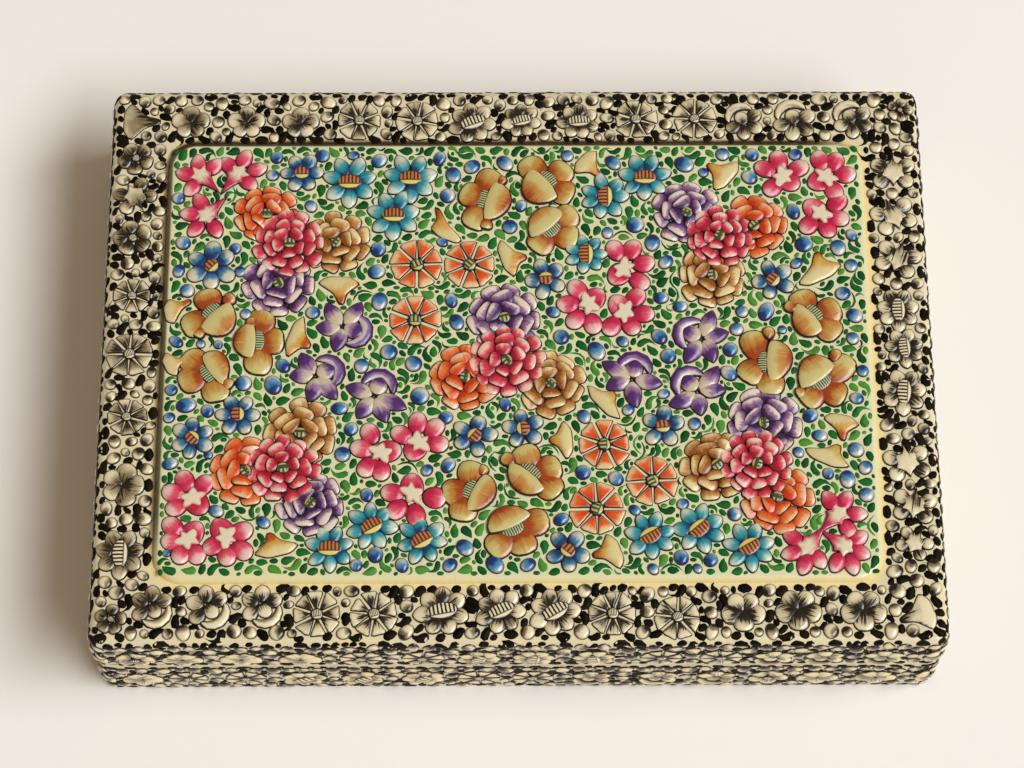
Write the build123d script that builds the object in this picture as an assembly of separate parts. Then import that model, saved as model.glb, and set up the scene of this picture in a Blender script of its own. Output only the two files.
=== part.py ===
from build123d import *
import os
from math import asin, degrees, hypot

# Kashmiri papier mache box: a moulded tray with a lift-off lid, a collar of four pasteboard strips that
# locates the lid, a raised pasteboard panel on the lid, and flowers and berries built up in gesso.
# Millimetres. +Z is up, +X runs along the length and -Y is the front. The origin is the centre of the
# underside.

# Tray and lid
box_length = 178.0
box_depth = 128.2
tray_height = 15.4
lid_height = 15.6
wall = 4.0
floor_thickness = 4.0
lid_top_thickness = 4.0
corner_radius = 3.0
inner_corner_radius = 2.4
top_edge_radius = 2.0
bottom_edge_radius = 1.0

# Collar that stands up inside the tray wall
collar_thickness = 1.6
collar_rise = 5.0
collar_clearance = 0.3

# Flat border of the lid top, at its two ends and along its two long sides, and the raised panel inside it
end_border = 12.6
side_border = 13.2
panel_height = 1.15
panel_bevel = 1.3
panel_foot = 0.15
panel_corner_radius = 5.0

# Gesso relief
flower_height = 0.9
berry_height = 1.0
side_flower_height = 0.8
side_berry_height = 0.7
relief_gap = 0.15
dome_steepness = 0.8
side_flower_radius = 5.0
side_flower_margin = 1.6
side_berry_radius = 1.7
side_berry_margin = 0.5

# The painter's layout was drawn for these sizes. On another size it spreads with the box.
drawn_length = 178.0
drawn_depth = 128.2
drawn_end_border = 12.6
drawn_side_border = 13.2

# Flowers of the raised panel: x, y and radius, from the centre of the lid.
hearts = {
    "back_left": (-49.3, 26.0, 8.0),
    "back_right": (44.0, 27.6, 7.4),
    "middle": (-2.3, -1.5, 8.0),
    "front_left": (-49.5, -25.9, 7.8),
    "front_right": (50.3, -25.2, 7.7),
}
side_rosettes = {
    "rosettes_orange": {
        "back_left": (-54.4, 33.0, 7.2),
        "back_right": (51.6, 30.0, 7.6),
        "middle": (-11.2, -5.3, 7.8),
        "front_left": (-57.3, -26.4, 7.8),
        "front_right": (54.2, -32.6, 8.0),
    },
    "rosettes_ochre": {
        "back_left": (-39.2, 26.2, 7.4),
        "back_right": (42.2, 18.2, 7.6),
        "middle": (7.0, -6.8, 7.6),
        "front_left": (-46.0, -18.0, 7.8),
        "front_right": (41.8, -25.4, 7.8),
    },
    "rosettes_purple": {
        "back_left": (-51.4, 16.6, 7.8),
        "back_right": (37.0, 33.2, 7.6),
        "middle": (-2.8, 8.4, 8.2),
        "front_left": (-43.6, -33.7, 7.4),
        "front_right": (52.0, -16.0, 8.2),
    },
}
panel_flowers = {
    "star_blossoms": [
        (-68.6, 42.4, 4.8), (-60.8, 43.4, 4.8), (-67.6, 32.8, 4.8),
        (58.4, 42.0, 4.8), (67.8, 42.0, 4.8), (66.6, 32.8, 4.6),
        (-68.6, -32.2, 4.8), (-69.0, -41.4, 4.6), (-60.8, -41.2, 4.8),
        (66.8, -36.4, 4.6), (60.2, -43.6, 4.6), (68.2, -43.6, 4.6),
        (23.4, 20.2, 5.0), (15.2, 11.4, 5.0), (23.4, 9.6, 4.8),
        (-29.4, -22.2, 5.0), (-21.2, -19.2, 5.0), (-22.0, -32.0, 5.2),
    ],
    "poppies": [
        (-6.4, 35.6, 6.6), (5.6, 41.2, 6.4), (6.8, 29.4, 6.2),
        (-66.0, 9.0, 6.4), (-55.6, 2.8, 6.4), (-66.0, -4.2, 6.2),
        (63.2, 9.0, 6.4), (53.4, -1.0, 7.0), (64.8, -5.4, 6.6),
        (-9.8, -30.8, 6.2), (2.8, -27.4, 6.6), (-0.6, -39.6, 6.6),
    ],
    "pinwheels": [
        (-21.6, 21.0, 5.4), (-10.2, 21.0, 5.6), (-22.0, 8.0, 5.4),
        (18.2, -20.6, 5.2), (28.2, -28.8, 5.2), (16.4, -35.0, 5.4),
    ],
    "irises": [
        (-36.6, 6.2, 6.2), (-41.8, -4.4, 6.2), (-29.6, -9.0, 6.2),
        (38.2, 4.0, 6.2), (24.8, -5.4, 6.0), (37.6, -7.6, 6.2),
    ],
    "daisies_teal": [
        (-36.4, 40.8, 6.0), (-23.2, 41.6, 5.8), (-26.8, 32.8, 5.4),
        (19.2, 37.2, 5.4), (28.2, 41.8, 5.6), (14.9, 23.4, 4.8),
        (-30.8, -38.8, 5.0), (-39.4, -43.6, 5.0), (-20.0, -41.8, 5.4),
        (27.6, -41.2, 5.4), (37.8, -39.6, 5.6), (47.8, -43.6, 5.4),
    ],
    "daisies_blue": [
        (-47.0, 43.0, 4.8), (-66.0, 20.8, 5.2), (-59.4, -13.6, 4.8), (-68.8, -19.0, 5.0),
        (6.2, 17.6, 4.8), (-9.2, -18.6, 4.8), (1.1, -17.0, 4.6), (10.2, -44.2, 4.8),
        (30.6, -16.6, 4.8), (55.2, 17.2, 4.8),
    ],
    "trumpet_buds": [
        (-15.8, 30.6, 3.6), (-1.6, 22.4, 3.6), (16.0, 44.6, 3.2), (45.0, 42.6, 3.2),
        (-38.4, 14.6, 3.4), (-73.0, 10.4, 2.6), (-73.0, -2.0, 2.4), (-47.6, 4.0, 3.8),
        (65.0, 20.0, 3.8), (68.0, -17.0, 3.0), (65.6, -22.8, 3.4), (-51.2, -42.8, 3.2),
        (18.8, -44.2, 3.2), (8.8, -19.4, 3.2), (18.6, -11.0, 3.4),
    ],
    "panel_berries": [
        (-73.7, 37.0, 1.5), (-72.3, 26.3, 1.7), (-73.0, 19.7, 1.5), (-61.0, 24.9, 1.5),
        (-59.8, 19.5, 1.4), (-52.5, 46.8, 1.5), (-53.3, 42.5, 1.5), (-42.5, 47.2, 1.8),
        (-35.7, 47.3, 1.5), (-30.0, 46.0, 1.8), (-44.8, 35.0, 1.5), (-30.0, 24.7, 1.8),
        (-30.3, 19.4, 1.9), (-16.8, 46.5, 1.6), (-9.7, 44.5, 1.8), (-13.8, 42.5, 1.9),
        (-15.0, 37.5, 1.8), (-2.5, 45.3, 1.9), (-16.2, 26.3, 1.5), (1.0, 35.0, 1.6),
        (-1.5, 30.0, 2.1), (11.2, 47.1, 1.5), (21.2, 45.4, 1.8), (19.7, 28.5, 1.4),
        (25.8, 30.4, 2.0), (36.8, 45.0, 2.1), (45.3, 47.4, 1.7), (51.8, 47.3, 1.6),
        (61.3, 47.3, 1.7), (41.0, 43.0, 1.5), (51.0, 41.8, 1.8), (60.3, 33.5, 1.8),
        (62.3, 25.7, 2.0), (60.5, 21.2, 1.7), (69.7, 24.8, 1.9), (72.7, 27.8, 1.4),
        (72.3, 20.6, 1.6), (29.4, 26.1, 1.9), (32.2, 21.5, 1.7), (-71.0, 15.0, 1.8),
        (-73.0, 3.1, 1.5), (-67.7, 2.6, 1.3), (-64.0, 2.4, 1.2), (-58.3, 9.5, 1.5),
        (-43.9, 9.8, 1.6), (-29.6, 12.4, 2.0), (-27.5, 0.6, 1.9), (-33.3, -2.6, 1.9),
        (-50.0, -2.5, 1.8), (-58.3, -6.5, 1.9), (-52.0, -6.9, 2.1), (-73.6, -8.0, 1.4),
        (-70.3, -11.5, 2.0), (-65.8, -12.8, 1.5), (-73.8, -14.3, 1.3), (-37.8, -12.3, 1.7),
        (-35.3, -17.0, 1.6), (-14.2, 12.6, 1.6), (-13.0, 7.5, 1.8), (-22.2, -2.1, 1.9),
        (-20.8, -9.5, 2.1), (7.7, 9.8, 1.5), (9.4, 4.0, 1.8), (16.9, 0.7, 2.1),
        (22.5, 2.9, 1.4), (-2.7, -11.5, 1.5), (-15.3, -14.5, 1.6), (14.0, -14.3, 1.6),
        (23.4, -12.8, 1.4), (31.0, 13.1, 1.6), (35.1, 11.0, 1.6), (48.3, 9.8, 1.5),
        (53.5, 9.8, 2.0), (47.0, 5.7, 1.6), (56.8, 5.6, 1.2), (45.5, 1.0, 1.9),
        (45.0, -4.5, 1.9), (30.4, 4.0, 1.9), (32.2, -0.5, 2.0), (70.2, 14.0, 1.7),
        (72.5, 8.8, 1.8), (71.8, 3.5, 1.5), (73.6, -4.0, 1.4), (72.0, -10.3, 1.5),
        (31.0, -9.2, 1.5), (62.0, -14.2, 1.7), (37.4, -16.0, 1.5), (-73.2, -24.7, 1.6),
        (-65.3, -22.7, 1.3), (-63.2, -35.3, 1.7), (-53.3, -37.8, 1.5), (-37.0, -22.7, 1.8),
        (-31.8, -31.8, 1.5), (-29.8, -45.0, 2.0), (-33.8, -47.3, 1.4), (-73.2, -44.5, 1.0),
        (-24.3, -47.3, 1.6), (-14.3, -47.3, 1.6), (-11.2, -43.5, 1.9), (-5.0, -47.2, 2.0),
        (1.9, -47.3, 1.7), (-19.2, -26.3, 1.5), (-14.7, -25.2, 1.9), (13.6, -26.9, 1.7),
        (20.5, -28.3, 1.7), (8.9, -37.3, 1.6), (24.3, -35.3, 1.3), (34.4, -34.0, 1.5),
        (45.2, -36.3, 1.6), (63.8, -18.8, 2.0), (59.1, -22.5, 1.3), (71.3, -22.0, 1.8),
        (65.2, -27.3, 1.5), (73.1, -26.0, 1.6), (69.2, -28.6, 1.9), (73.0, -32.1, 1.7),
        (33.8, -45.8, 1.7), (37.1, -48.2, 1.1), (39.9, -46.4, 1.6), (27.9, -48.3, 1.3),
    ],
}

# Flowers of the flat border: distance along the side, distance out from the border's middle, and radius.
border_flowers = {
    "back": [
        (-83.0, -1.2, 4.6), (-71.8, -1.6, 4.8), (-59.5, -1.8, 4.8), (-47.5, -1.8, 4.6),
        (-34.6, -1.0, 4.8), (-21.8, -1.2, 4.8), (-9.6, -1.8, 4.8), (1.2, -1.2, 4.8),
        (13.8, -1.4, 5.0), (26.5, -0.8, 4.8), (39.5, -0.8, 4.8), (50.4, -1.6, 4.8),
        (61.6, -1.6, 5.0), (74.4, -1.2, 5.0), (85.0, 1.2, 3.0),
    ],
    "front": [
        (-84.3, 1.0, 3.4), (-76.0, -1.8, 4.6), (-64.4, -1.6, 4.8), (-53.2, -1.8, 4.6),
        (-41.8, 0.0, 5.0), (-30.0, 0.0, 5.0), (-16.0, -0.6, 5.2), (-3.8, -0.6, 4.8),
        (7.4, -0.4, 5.0), (19.4, 0.0, 5.0), (32.8, 0.8, 4.8), (46.4, -0.4, 4.6),
        (57.8, -0.8, 4.8), (71.3, -0.6, 4.8), (82.6, 0.4, 4.2),
    ],
    "left": [
        (47.2, 0.8, 4.0), (38.0, 0.6, 4.4), (28.0, 2.0, 4.6), (14.4, 0.8, 5.0),
        (0.8, 0.8, 5.0), (-13.6, 1.2, 5.0), (-29.0, 0.6, 4.8), (-44.2, 0.4, 5.0),
    ],
    "right": [
        (43.6, 0.0, 4.8), (33.0, -0.4, 4.8), (22.8, 0.0, 4.8), (10.6, -0.6, 4.6),
        (1.8, 0.2, 4.2), (-8.4, -0.4, 4.8), (-24.4, -0.6, 4.8), (-34.0, 0.4, 4.6),
        (-42.4, 0.0, 3.8),
    ],
}
border_berries = {
    "back": [
        (-79.0, 4.0, 1.4), (-76.6, 1.8, 1.4), (-70.5, 4.2, 1.6), (-65.0, 3.2, 1.6),
        (-60.0, 4.2, 1.6), (-54.0, 3.2, 1.7), (-48.0, 4.6, 1.7), (-41.5, 3.4, 1.7),
        (-66.2, -5.0, 1.4), (-53.3, -5.2, 1.3), (-41.0, -4.4, 1.5), (-28.6, -4.4, 1.4),
        (-26.5, 3.8, 1.4), (-16.0, 3.0, 1.7), (-16.6, -5.2, 1.3), (3.0, 4.6, 1.6),
        (7.2, 3.4, 1.5), (13.5, 5.0, 1.4), (20.2, 3.2, 1.7), (20.7, -4.8, 1.4),
        (33.5, 4.4, 1.3), (32.6, -5.0, 1.3), (44.6, 4.4, 1.5), (52.6, 4.8, 1.5),
        (57.0, 4.2, 1.4), (67.2, 4.2, 1.7), (68.2, -4.8, 1.5), (79.4, 4.4, 1.8),
        (80.4, -3.0, 1.6),
    ],
    "front": [
        (-83.4, -5.2, 1.7), (-70.3, -5.2, 1.4), (-58.7, -5.4, 1.4), (-46.7, -5.2, 1.4),
        (-34.7, -5.2, 1.5), (-69.3, 4.2, 1.7), (-58.8, 3.6, 1.6), (-50.0, 4.2, 1.7),
        (-36.2, 4.8, 1.5), (-23.3, -5.2, 1.6), (-9.6, -5.0, 1.3), (-23.3, 4.0, 1.7),
        (-9.7, 4.4, 1.5), (1.6, -5.0, 1.5), (1.8, 4.9, 1.6), (12.9, 4.2, 1.7),
        (13.6, -4.9, 1.6), (26.6, -4.0, 1.7), (25.6, 4.8, 1.6), (39.5, -3.6, 1.6),
        (39.8, 4.8, 1.6), (51.9, -4.9, 1.5), (52.2, 4.8, 1.6), (65.2, -4.2, 1.6),
        (64.4, 4.2, 1.7), (76.9, 4.8, 1.7), (78.6, -5.2, 1.8),
    ],
    "left": [
        (42.6, -5.0, 1.2), (34.5, -5.0, 1.4), (26.0, -4.8, 1.4), (14.2, -5.4, 1.2),
        (7.2, -4.8, 1.5), (-6.6, -4.2, 1.6), (-15.6, -5.2, 1.3), (-22.0, -2.6, 1.5),
        (-36.6, -4.2, 1.7), (-37.4, 2.4, 1.3), (22.0, 1.6, 1.6),
        (7.8, 4.9, 1.3), (-6.2, 4.6, 1.3),
    ],
    "right": [
        (49.6, -3.4, 1.5), (38.2, -5.4, 1.3), (27.6, -5.2, 1.2), (38.4, 4.4, 1.2),
        (28.0, 4.0, 1.5), (16.8, 4.4, 1.4), (6.2, -5.2, 1.3), (-2.6, -5.0, 1.2),
        (6.4, 4.4, 1.3), (-15.8, -4.2, 1.7), (-18.0, 0.0, 1.5), (-16.8, 3.4, 1.4),
        (-29.2, 4.2, 1.3), (-48.6, -5.0, 1.7), (-47.4, 3.8, 1.6), (-50.6, 0.0, 1.6),
    ],
}

# Flowers of the outer walls, by distance along the side as it is seen from outside. The tray's and the lid's
# walls carry the same flowers, with a berry above each space between two of them.
long_wall_flowers = [
    -80.0, -70.2, -58.0, -45.6, -33.0, -20.2, -8.4, 3.0, 15.6, 29.8, 42.2, 53.2, 63.8, 76.2,
]
short_wall_flowers = [-55.2, -43.2, -31.0, -18.6, -6.2, 6.2, 18.6, 31.0, 43.2, 55.2]


def rounded_block(length, depth, height, radius):
    """A block standing on z = 0 with rounded upright corners."""
    return extrude(RectangleRounded(length, depth, radius), amount=height)


def cap(radius, height):
    """A low dome, flat side down on z = 0. A small one is flatter, so that it never overhangs."""
    height = min(height, dome_steepness * radius)
    ball = (radius**2 + height**2) / (2 * height)
    rim = degrees(asin((ball - height) / ball))
    return Sphere(ball, arc_size1=rim, align=(Align.CENTER, Align.CENTER, Align.MIN))


def clear_radii(domes):
    """The radii of domes on one surface, each cut back where two would come within relief_gap.

    A dome is (x, y, radius, cluster, heart). A cluster's side rosettes may lie under its heart."""
    kept = []
    for x, y, radius, cluster, heart in domes:
        share = 1.0
        for other_x, other_y, other_radius, other_cluster, other_heart in domes:
            apart = hypot(x - other_x, y - other_y)
            under_heart = cluster and cluster == other_cluster and heart != other_heart
            if apart > 0 and not under_heart:
                share = min(share, (apart - relief_gap) / (radius + other_radius))
        kept.append(radius * share)
    return kept


def spread(places, scale_x, scale_y):
    """A drawn layout, carried over to the sizes of this box."""
    scale = min(scale_x, scale_y)
    return [(x * scale_x, y * scale_y, radius * scale) for x, y, radius in places]


box_height = tray_height + lid_height
lid_wall = wall - collar_clearance
panel_length = box_length - 2 * end_border
panel_depth = box_depth - 2 * side_border
panel_top = box_height + panel_height


def make_tray():
    """The tray: floor and four walls moulded in one."""
    body = rounded_block(box_length, box_depth, tray_height, corner_radius)
    body = fillet(body.faces().sort_by(Axis.Z)[0].edges(), bottom_edge_radius)
    inside = rounded_block(
        box_length - 2 * wall, box_depth - 2 * wall, tray_height - floor_thickness, inner_corner_radius
    )
    return body - Pos(0, 0, floor_thickness) * inside


def make_lid():
    """The lid: top and four walls moulded in one, hollow from below."""
    body = rounded_block(box_length, box_depth, lid_height, corner_radius)
    body = fillet(body.faces().sort_by(Axis.Z)[-1].edges(), top_edge_radius)
    inside = rounded_block(
        box_length - 2 * lid_wall,
        box_depth - 2 * lid_wall,
        lid_height - lid_top_thickness,
        inner_corner_radius,
    )
    return Pos(0, 0, tray_height) * (body - inside)


def make_panel():
    """The raised panel glued on the lid, with a bevel all round."""
    body = rounded_block(panel_length, panel_depth, panel_height, panel_corner_radius + panel_bevel)
    rim = body.faces().sort_by(Axis.Z)[-1]
    body = chamfer(rim.edges(), length=panel_bevel, length2=panel_height - panel_foot, reference=rim)
    return Pos(0, 0, box_height) * body


def make_collar():
    """The four strips of the collar, mitred at the corners."""
    outer_length = box_length - 2 * wall
    outer_depth = box_depth - 2 * wall
    height = tray_height - floor_thickness + collar_rise
    ring = rounded_block(outer_length, outer_depth, height, inner_corner_radius)
    ring -= rounded_block(
        outer_length - 2 * collar_thickness,
        outer_depth - 2 * collar_thickness,
        height,
        inner_corner_radius - collar_thickness,
    )
    ring = Pos(0, 0, floor_thickness) * ring
    reach = 4 * collar_thickness
    half_length = outer_length / 2
    half_depth = outer_depth / 2
    strips = {}
    for name, side in (("front", -1), ("back", 1)):
        corners = [
            (-half_length, side * half_depth),
            (half_length, side * half_depth),
            (half_length - reach, side * (half_depth - reach)),
            (reach - half_length, side * (half_depth - reach)),
        ]
        strips[name] = ring & extrude(make_face(Polyline(corners, close=True)), amount=box_height)
    for name, side in (("left", -1), ("right", 1)):
        corners = [
            (side * half_length, -half_depth),
            (side * half_length, half_depth),
            (side * (half_length - reach), half_depth - reach),
            (side * (half_length - reach), reach - half_depth),
        ]
        strips[name] = ring & extrude(make_face(Polyline(corners, close=True)), amount=box_height)
    return strips


def make_panel_relief():
    """The gesso domes of the raised panel, one list of solids for each kind."""
    scale_x = box_length / drawn_length
    scale_y = box_depth / drawn_depth
    rows = []
    for cluster, place in hearts.items():
        rows.append(("rosettes_pink", place, cluster, True))
    for node, places in side_rosettes.items():
        for cluster, place in places.items():
            rows.append((node, place, cluster, False))
    for node, places in panel_flowers.items():
        for place in places:
            rows.append((node, place, None, False))
    places = spread([row[1] for row in rows], scale_x, scale_y)
    domes = [(*place, row[2], row[3]) for place, row in zip(places, rows)]
    radii = clear_radii(domes)
    heart_of = {}
    relief = {}
    for (node, _, cluster, heart), (x, y, _), radius in zip(rows, places, radii):
        height = berry_height if node == "panel_berries" else flower_height
        dome = Pos(x, y, panel_top) * cap(radius, height)
        if heart:
            heart_of[cluster] = (x, y, radius)
        elif cluster:
            heart_x, heart_y, heart_radius = heart_of[cluster]
            hollow = Cylinder(heart_radius + relief_gap, 4 * flower_height)
            dome = dome - Pos(heart_x, heart_y, panel_top) * hollow
        relief.setdefault(node, []).append(dome)
    return relief


def border_dome(side, along, out, radius):
    """One dome of the flat border, kept between the foot of the panel and the rounded edge of the lid.

    along runs along the side, and out from the border's middle. Returns x, y and radius."""
    if side in ("back", "front"):
        along_scale = box_length / drawn_length
        border = side_border
        out_scale = side_border / drawn_side_border
        middle = (box_depth - border) / 2
    else:
        along_scale = box_depth / drawn_depth
        border = end_border
        out_scale = end_border / drawn_end_border
        middle = (box_length - border) / 2
    radius = radius * min(along_scale, out_scale)
    nearest = relief_gap + radius - border / 2
    furthest = border / 2 - top_edge_radius / 2 - radius
    out = min(max(out * out_scale, nearest), furthest)
    along = along * along_scale
    x, y = {
        "back": (along, middle + out),
        "front": (along, -middle - out),
        "left": (-middle - out, along),
        "right": (middle + out, along),
    }[side]
    return x, y, radius


def make_border_relief():
    """The gesso domes of the flat border round the panel."""
    nodes = []
    domes = []
    for node, places in (("border_flowers", border_flowers), ("border_berries", border_berries)):
        for side, run in places.items():
            for along, out, radius in run:
                nodes.append(node)
                domes.append((*border_dome(side, along, out, radius), None, False))
    relief = {}
    for node, (x, y, *_), radius in zip(nodes, domes, clear_radii(domes)):
        height = berry_height if node == "border_berries" else flower_height
        relief.setdefault(node, []).append(Pos(x, y, box_height) * cap(radius, height))
    return relief


def make_side_relief(low, high):
    """The gesso domes on the four outer walls of the tray or lid, between two heights."""
    flower_radius = min(side_flower_radius, (high - low) / 2 - side_flower_margin)
    flower_z = low + side_flower_margin + flower_radius
    berry_z = high - side_berry_margin - side_berry_radius
    flowers = []
    berries = []
    for turn in (0, 90, 180, 270):
        facing_front = turn in (0, 180)
        scale = box_length / drawn_length if facing_front else box_depth / drawn_depth
        half_other = box_depth / 2 if facing_front else box_length / 2
        places = [along * scale for along in (long_wall_flowers if facing_front else short_wall_flowers)]
        spaces = [(here + after) / 2 for here, after in zip(places, places[1:])]
        domes = [(along, flower_z, flower_radius, None, False) for along in places]
        domes += [(along, berry_z, side_berry_radius, None, False) for along in spaces]
        for number, ((along, height, *_), radius) in enumerate(zip(domes, clear_radii(domes))):
            is_flower = number < len(places)
            dome = Rot(90, 0, 0) * cap(radius, side_flower_height if is_flower else side_berry_height)
            dome = Rot(0, 0, turn) * Pos(along, -half_other, height) * dome
            (flowers if is_flower else berries).append(dome)
    return flowers, berries


def make_pieces():
    """Every piece of the box, by node name."""
    pieces = {"base_tray": make_tray(), "lid_shell": make_lid(), "lid_panel": make_panel()}
    for side, strip in make_collar().items():
        pieces["collar_" + side] = strip
    for node, domes in (make_panel_relief() | make_border_relief()).items():
        pieces["relief_" + node] = Compound(children=domes)
    walls = (
        ("lid_side", tray_height, box_height - top_edge_radius),
        ("tray_side", bottom_edge_radius, tray_height),
    )
    for name, low, high in walls:
        flowers, berries = make_side_relief(low, high)
        pieces[f"relief_{name}_flowers"] = Compound(children=flowers)
        pieces[f"relief_{name}_berries"] = Compound(children=berries)
    return pieces


os.makedirs("parts", exist_ok=True)
for node, piece in make_pieces().items():
    export_step(piece, f"parts/{node}.step")
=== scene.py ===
"""Papier mache box with a raised and painted flower garden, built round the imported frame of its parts.

Each operator makes one piece or one group of like pieces. The gesso petals are closed meshes that stand on
the box, and their colours, outlines and varnish are painted by procedural materials."""

import functools
import math

import bpy
import numpy as np
from mathutils import Matrix, Vector


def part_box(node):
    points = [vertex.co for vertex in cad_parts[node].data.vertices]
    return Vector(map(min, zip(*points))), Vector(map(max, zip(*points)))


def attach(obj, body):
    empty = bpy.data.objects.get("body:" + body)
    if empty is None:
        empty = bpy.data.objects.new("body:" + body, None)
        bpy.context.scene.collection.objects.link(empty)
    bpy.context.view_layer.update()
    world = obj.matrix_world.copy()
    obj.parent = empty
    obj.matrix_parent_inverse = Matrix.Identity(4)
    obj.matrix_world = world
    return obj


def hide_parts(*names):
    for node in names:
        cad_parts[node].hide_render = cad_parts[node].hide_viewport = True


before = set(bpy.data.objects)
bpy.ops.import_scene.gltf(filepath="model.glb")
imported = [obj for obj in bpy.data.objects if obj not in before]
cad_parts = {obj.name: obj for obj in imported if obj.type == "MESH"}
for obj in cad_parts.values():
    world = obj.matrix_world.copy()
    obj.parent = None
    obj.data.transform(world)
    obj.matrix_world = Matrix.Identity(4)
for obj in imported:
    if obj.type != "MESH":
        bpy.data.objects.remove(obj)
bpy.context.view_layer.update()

bl_info = {
    "name": "Papier mache box",
    "version": (1, 0, 0),
    "blender": (4, 5, 0),
    "location": "3D View > Sidebar > Papier mache",
    "description": "Builds a lacquered papier mache box with raised, painted flowers",
    "category": "Add Mesh",
}

MM = 0.001
ROOT_DEPTH = 0.05  # how far every relief reaches into the ground under it, in mm


# ---------------------------------------------------------------- properties


def millimetres(name, description, default):
    """A length that a user may change, kept in metres."""
    return bpy.props.FloatProperty(
        name=name, description=description, default=default * MM, min=0.0, unit="LENGTH", precision=5
    )


def paint(name, description, default):
    """A paint colour that a user may change, in linear light."""
    return bpy.props.FloatVectorProperty(
        name=name, description=description, default=default, size=3, min=0.0, max=1.0, subtype="COLOR"
    )


class BoxSizes(bpy.types.PropertyGroup):
    """Sizes of the papier mache box and of its relief."""

    wall: millimetres("Wall", "Thickness of the tray's walls", 4.0)
    lid_wall: millimetres("Lid wall", "Thickness of the lid's walls", 3.7)
    floor: millimetres("Floor", "Thickness of the tray's floor and of the lid's top", 4.0)
    corner: millimetres("Corner", "Radius of the upright corners", 3.0)
    inner_corner: millimetres("Inner corner", "Radius of the corners inside", 2.4)
    top_edge: millimetres("Top edge", "Radius of the lid's upper edge", 2.0)
    bottom_edge: millimetres("Bottom edge", "Radius of the tray's lower edge", 1.0)
    panel_corner: millimetres("Panel corner", "Radius of the raised panel's corners at its foot", 6.3)
    petal: millimetres("Petal height", "How far the panel's petals stand up", 0.92)
    border_petal: millimetres("Border petal height", "How far the border's and walls' petals stand up", 0.72)
    wall_berry: millimetres("Wall berry height", "How far the walls' berries stand out", 0.65)
    outline: millimetres("Outline", "Width of the painted outline of a petal", 0.21)
    stroke: millimetres("Stroke height", "Thickness of a painted leaf", 0.07)


class BoxColours(bpy.types.PropertyGroup):
    """Colours of the gesso, paints and lacquers."""

    ivory: paint("Ivory lacquer", "Ground of the box", (0.73, 0.65, 0.415))
    yellowed: paint("Yellowed lacquer", "Ground where the varnish has gathered", (0.87, 0.69, 0.31))
    black: paint("Black lacquer", "Inside, collar and underside", (0.012, 0.010, 0.009))
    ink: paint("Ink", "Outlines of the petals", (0.020, 0.009, 0.004))
    leaf_dark: paint("Dark leaf", "Darker green strokes", (0.008, 0.075, 0.016))
    leaf_light: paint("Light leaf", "Lighter green strokes", (0.085, 0.275, 0.042))
    border_ink: paint("Border ink", "Strokes of the border and walls", (0.005, 0.0032, 0.0016))
    crimson: paint("Crimson", "Base of the pink petals", (0.34, 0.003, 0.018))
    pink: paint("Pink", "Middle of the pink petals", (0.66, 0.048, 0.080))
    orange: paint("Orange", "Base of the orange petals", (0.55, 0.036, 0.002))
    ochre: paint("Ochre", "Base of the ochre petals", (0.25, 0.066, 0.005))
    purple: paint("Purple", "Base of the purple petals", (0.046, 0.011, 0.078))
    teal: paint("Teal", "Base of the teal petals", (0.002, 0.050, 0.125))
    blue: paint("Blue", "Base of the blue petals and patches of the berries", (0.004, 0.030, 0.120))


def sizes():
    """The box sizes in the scene."""
    return bpy.context.scene.papier_sizes


def colours():
    """The box colours in the scene."""
    return bpy.context.scene.papier_colours


# ---------------------------------------------------------------- faces of the box


def corners_mm(node):
    """Lowest and highest corners of a CAD node, in millimetres."""
    low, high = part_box(node)
    return np.array(low) / MM, np.array(high) / MM


made_outlines = {}  # outlines of what stands on each face, which the strokes keep clear of


def levels(node):
    """Lowest and highest level of a CAD node, in millimetres."""
    low, high = corners_mm(node)
    return low[2], high[2]


class TopFace:
    """A level face of the lid. Its coordinates are x, y and the height above it."""

    def __init__(self, name, level):
        self.name, self.level = name, level

    def place(self, across, up, out):
        return np.stack([across, up, self.level + out], axis=-1)


class BorderFace(TopFace):
    """The lid's top, which bends down at the rounded edge round it."""

    def __init__(self, low, high, corner, edge):
        super().__init__("border", high[2])
        self.straight = (high[:2] - low[:2]) / 2 - corner
        self.flat, self.edge = corner - edge, edge

    def place(self, across, up, out):
        plan = np.stack([across, up], axis=-1)
        over = np.sign(plan) * np.maximum(np.abs(plan) - self.straight, 0)
        reach = np.linalg.norm(over, axis=-1)
        sine = np.clip((reach - self.flat) / self.edge, 0, 0.9)
        cosine = np.sqrt(1 - sine**2)
        x, y = (plan + over * (sine * out / np.maximum(reach, 1e-9))[..., None]).T
        return np.stack([x, y, self.level + (self.edge + out) * cosine - self.edge], axis=-1)


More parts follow.
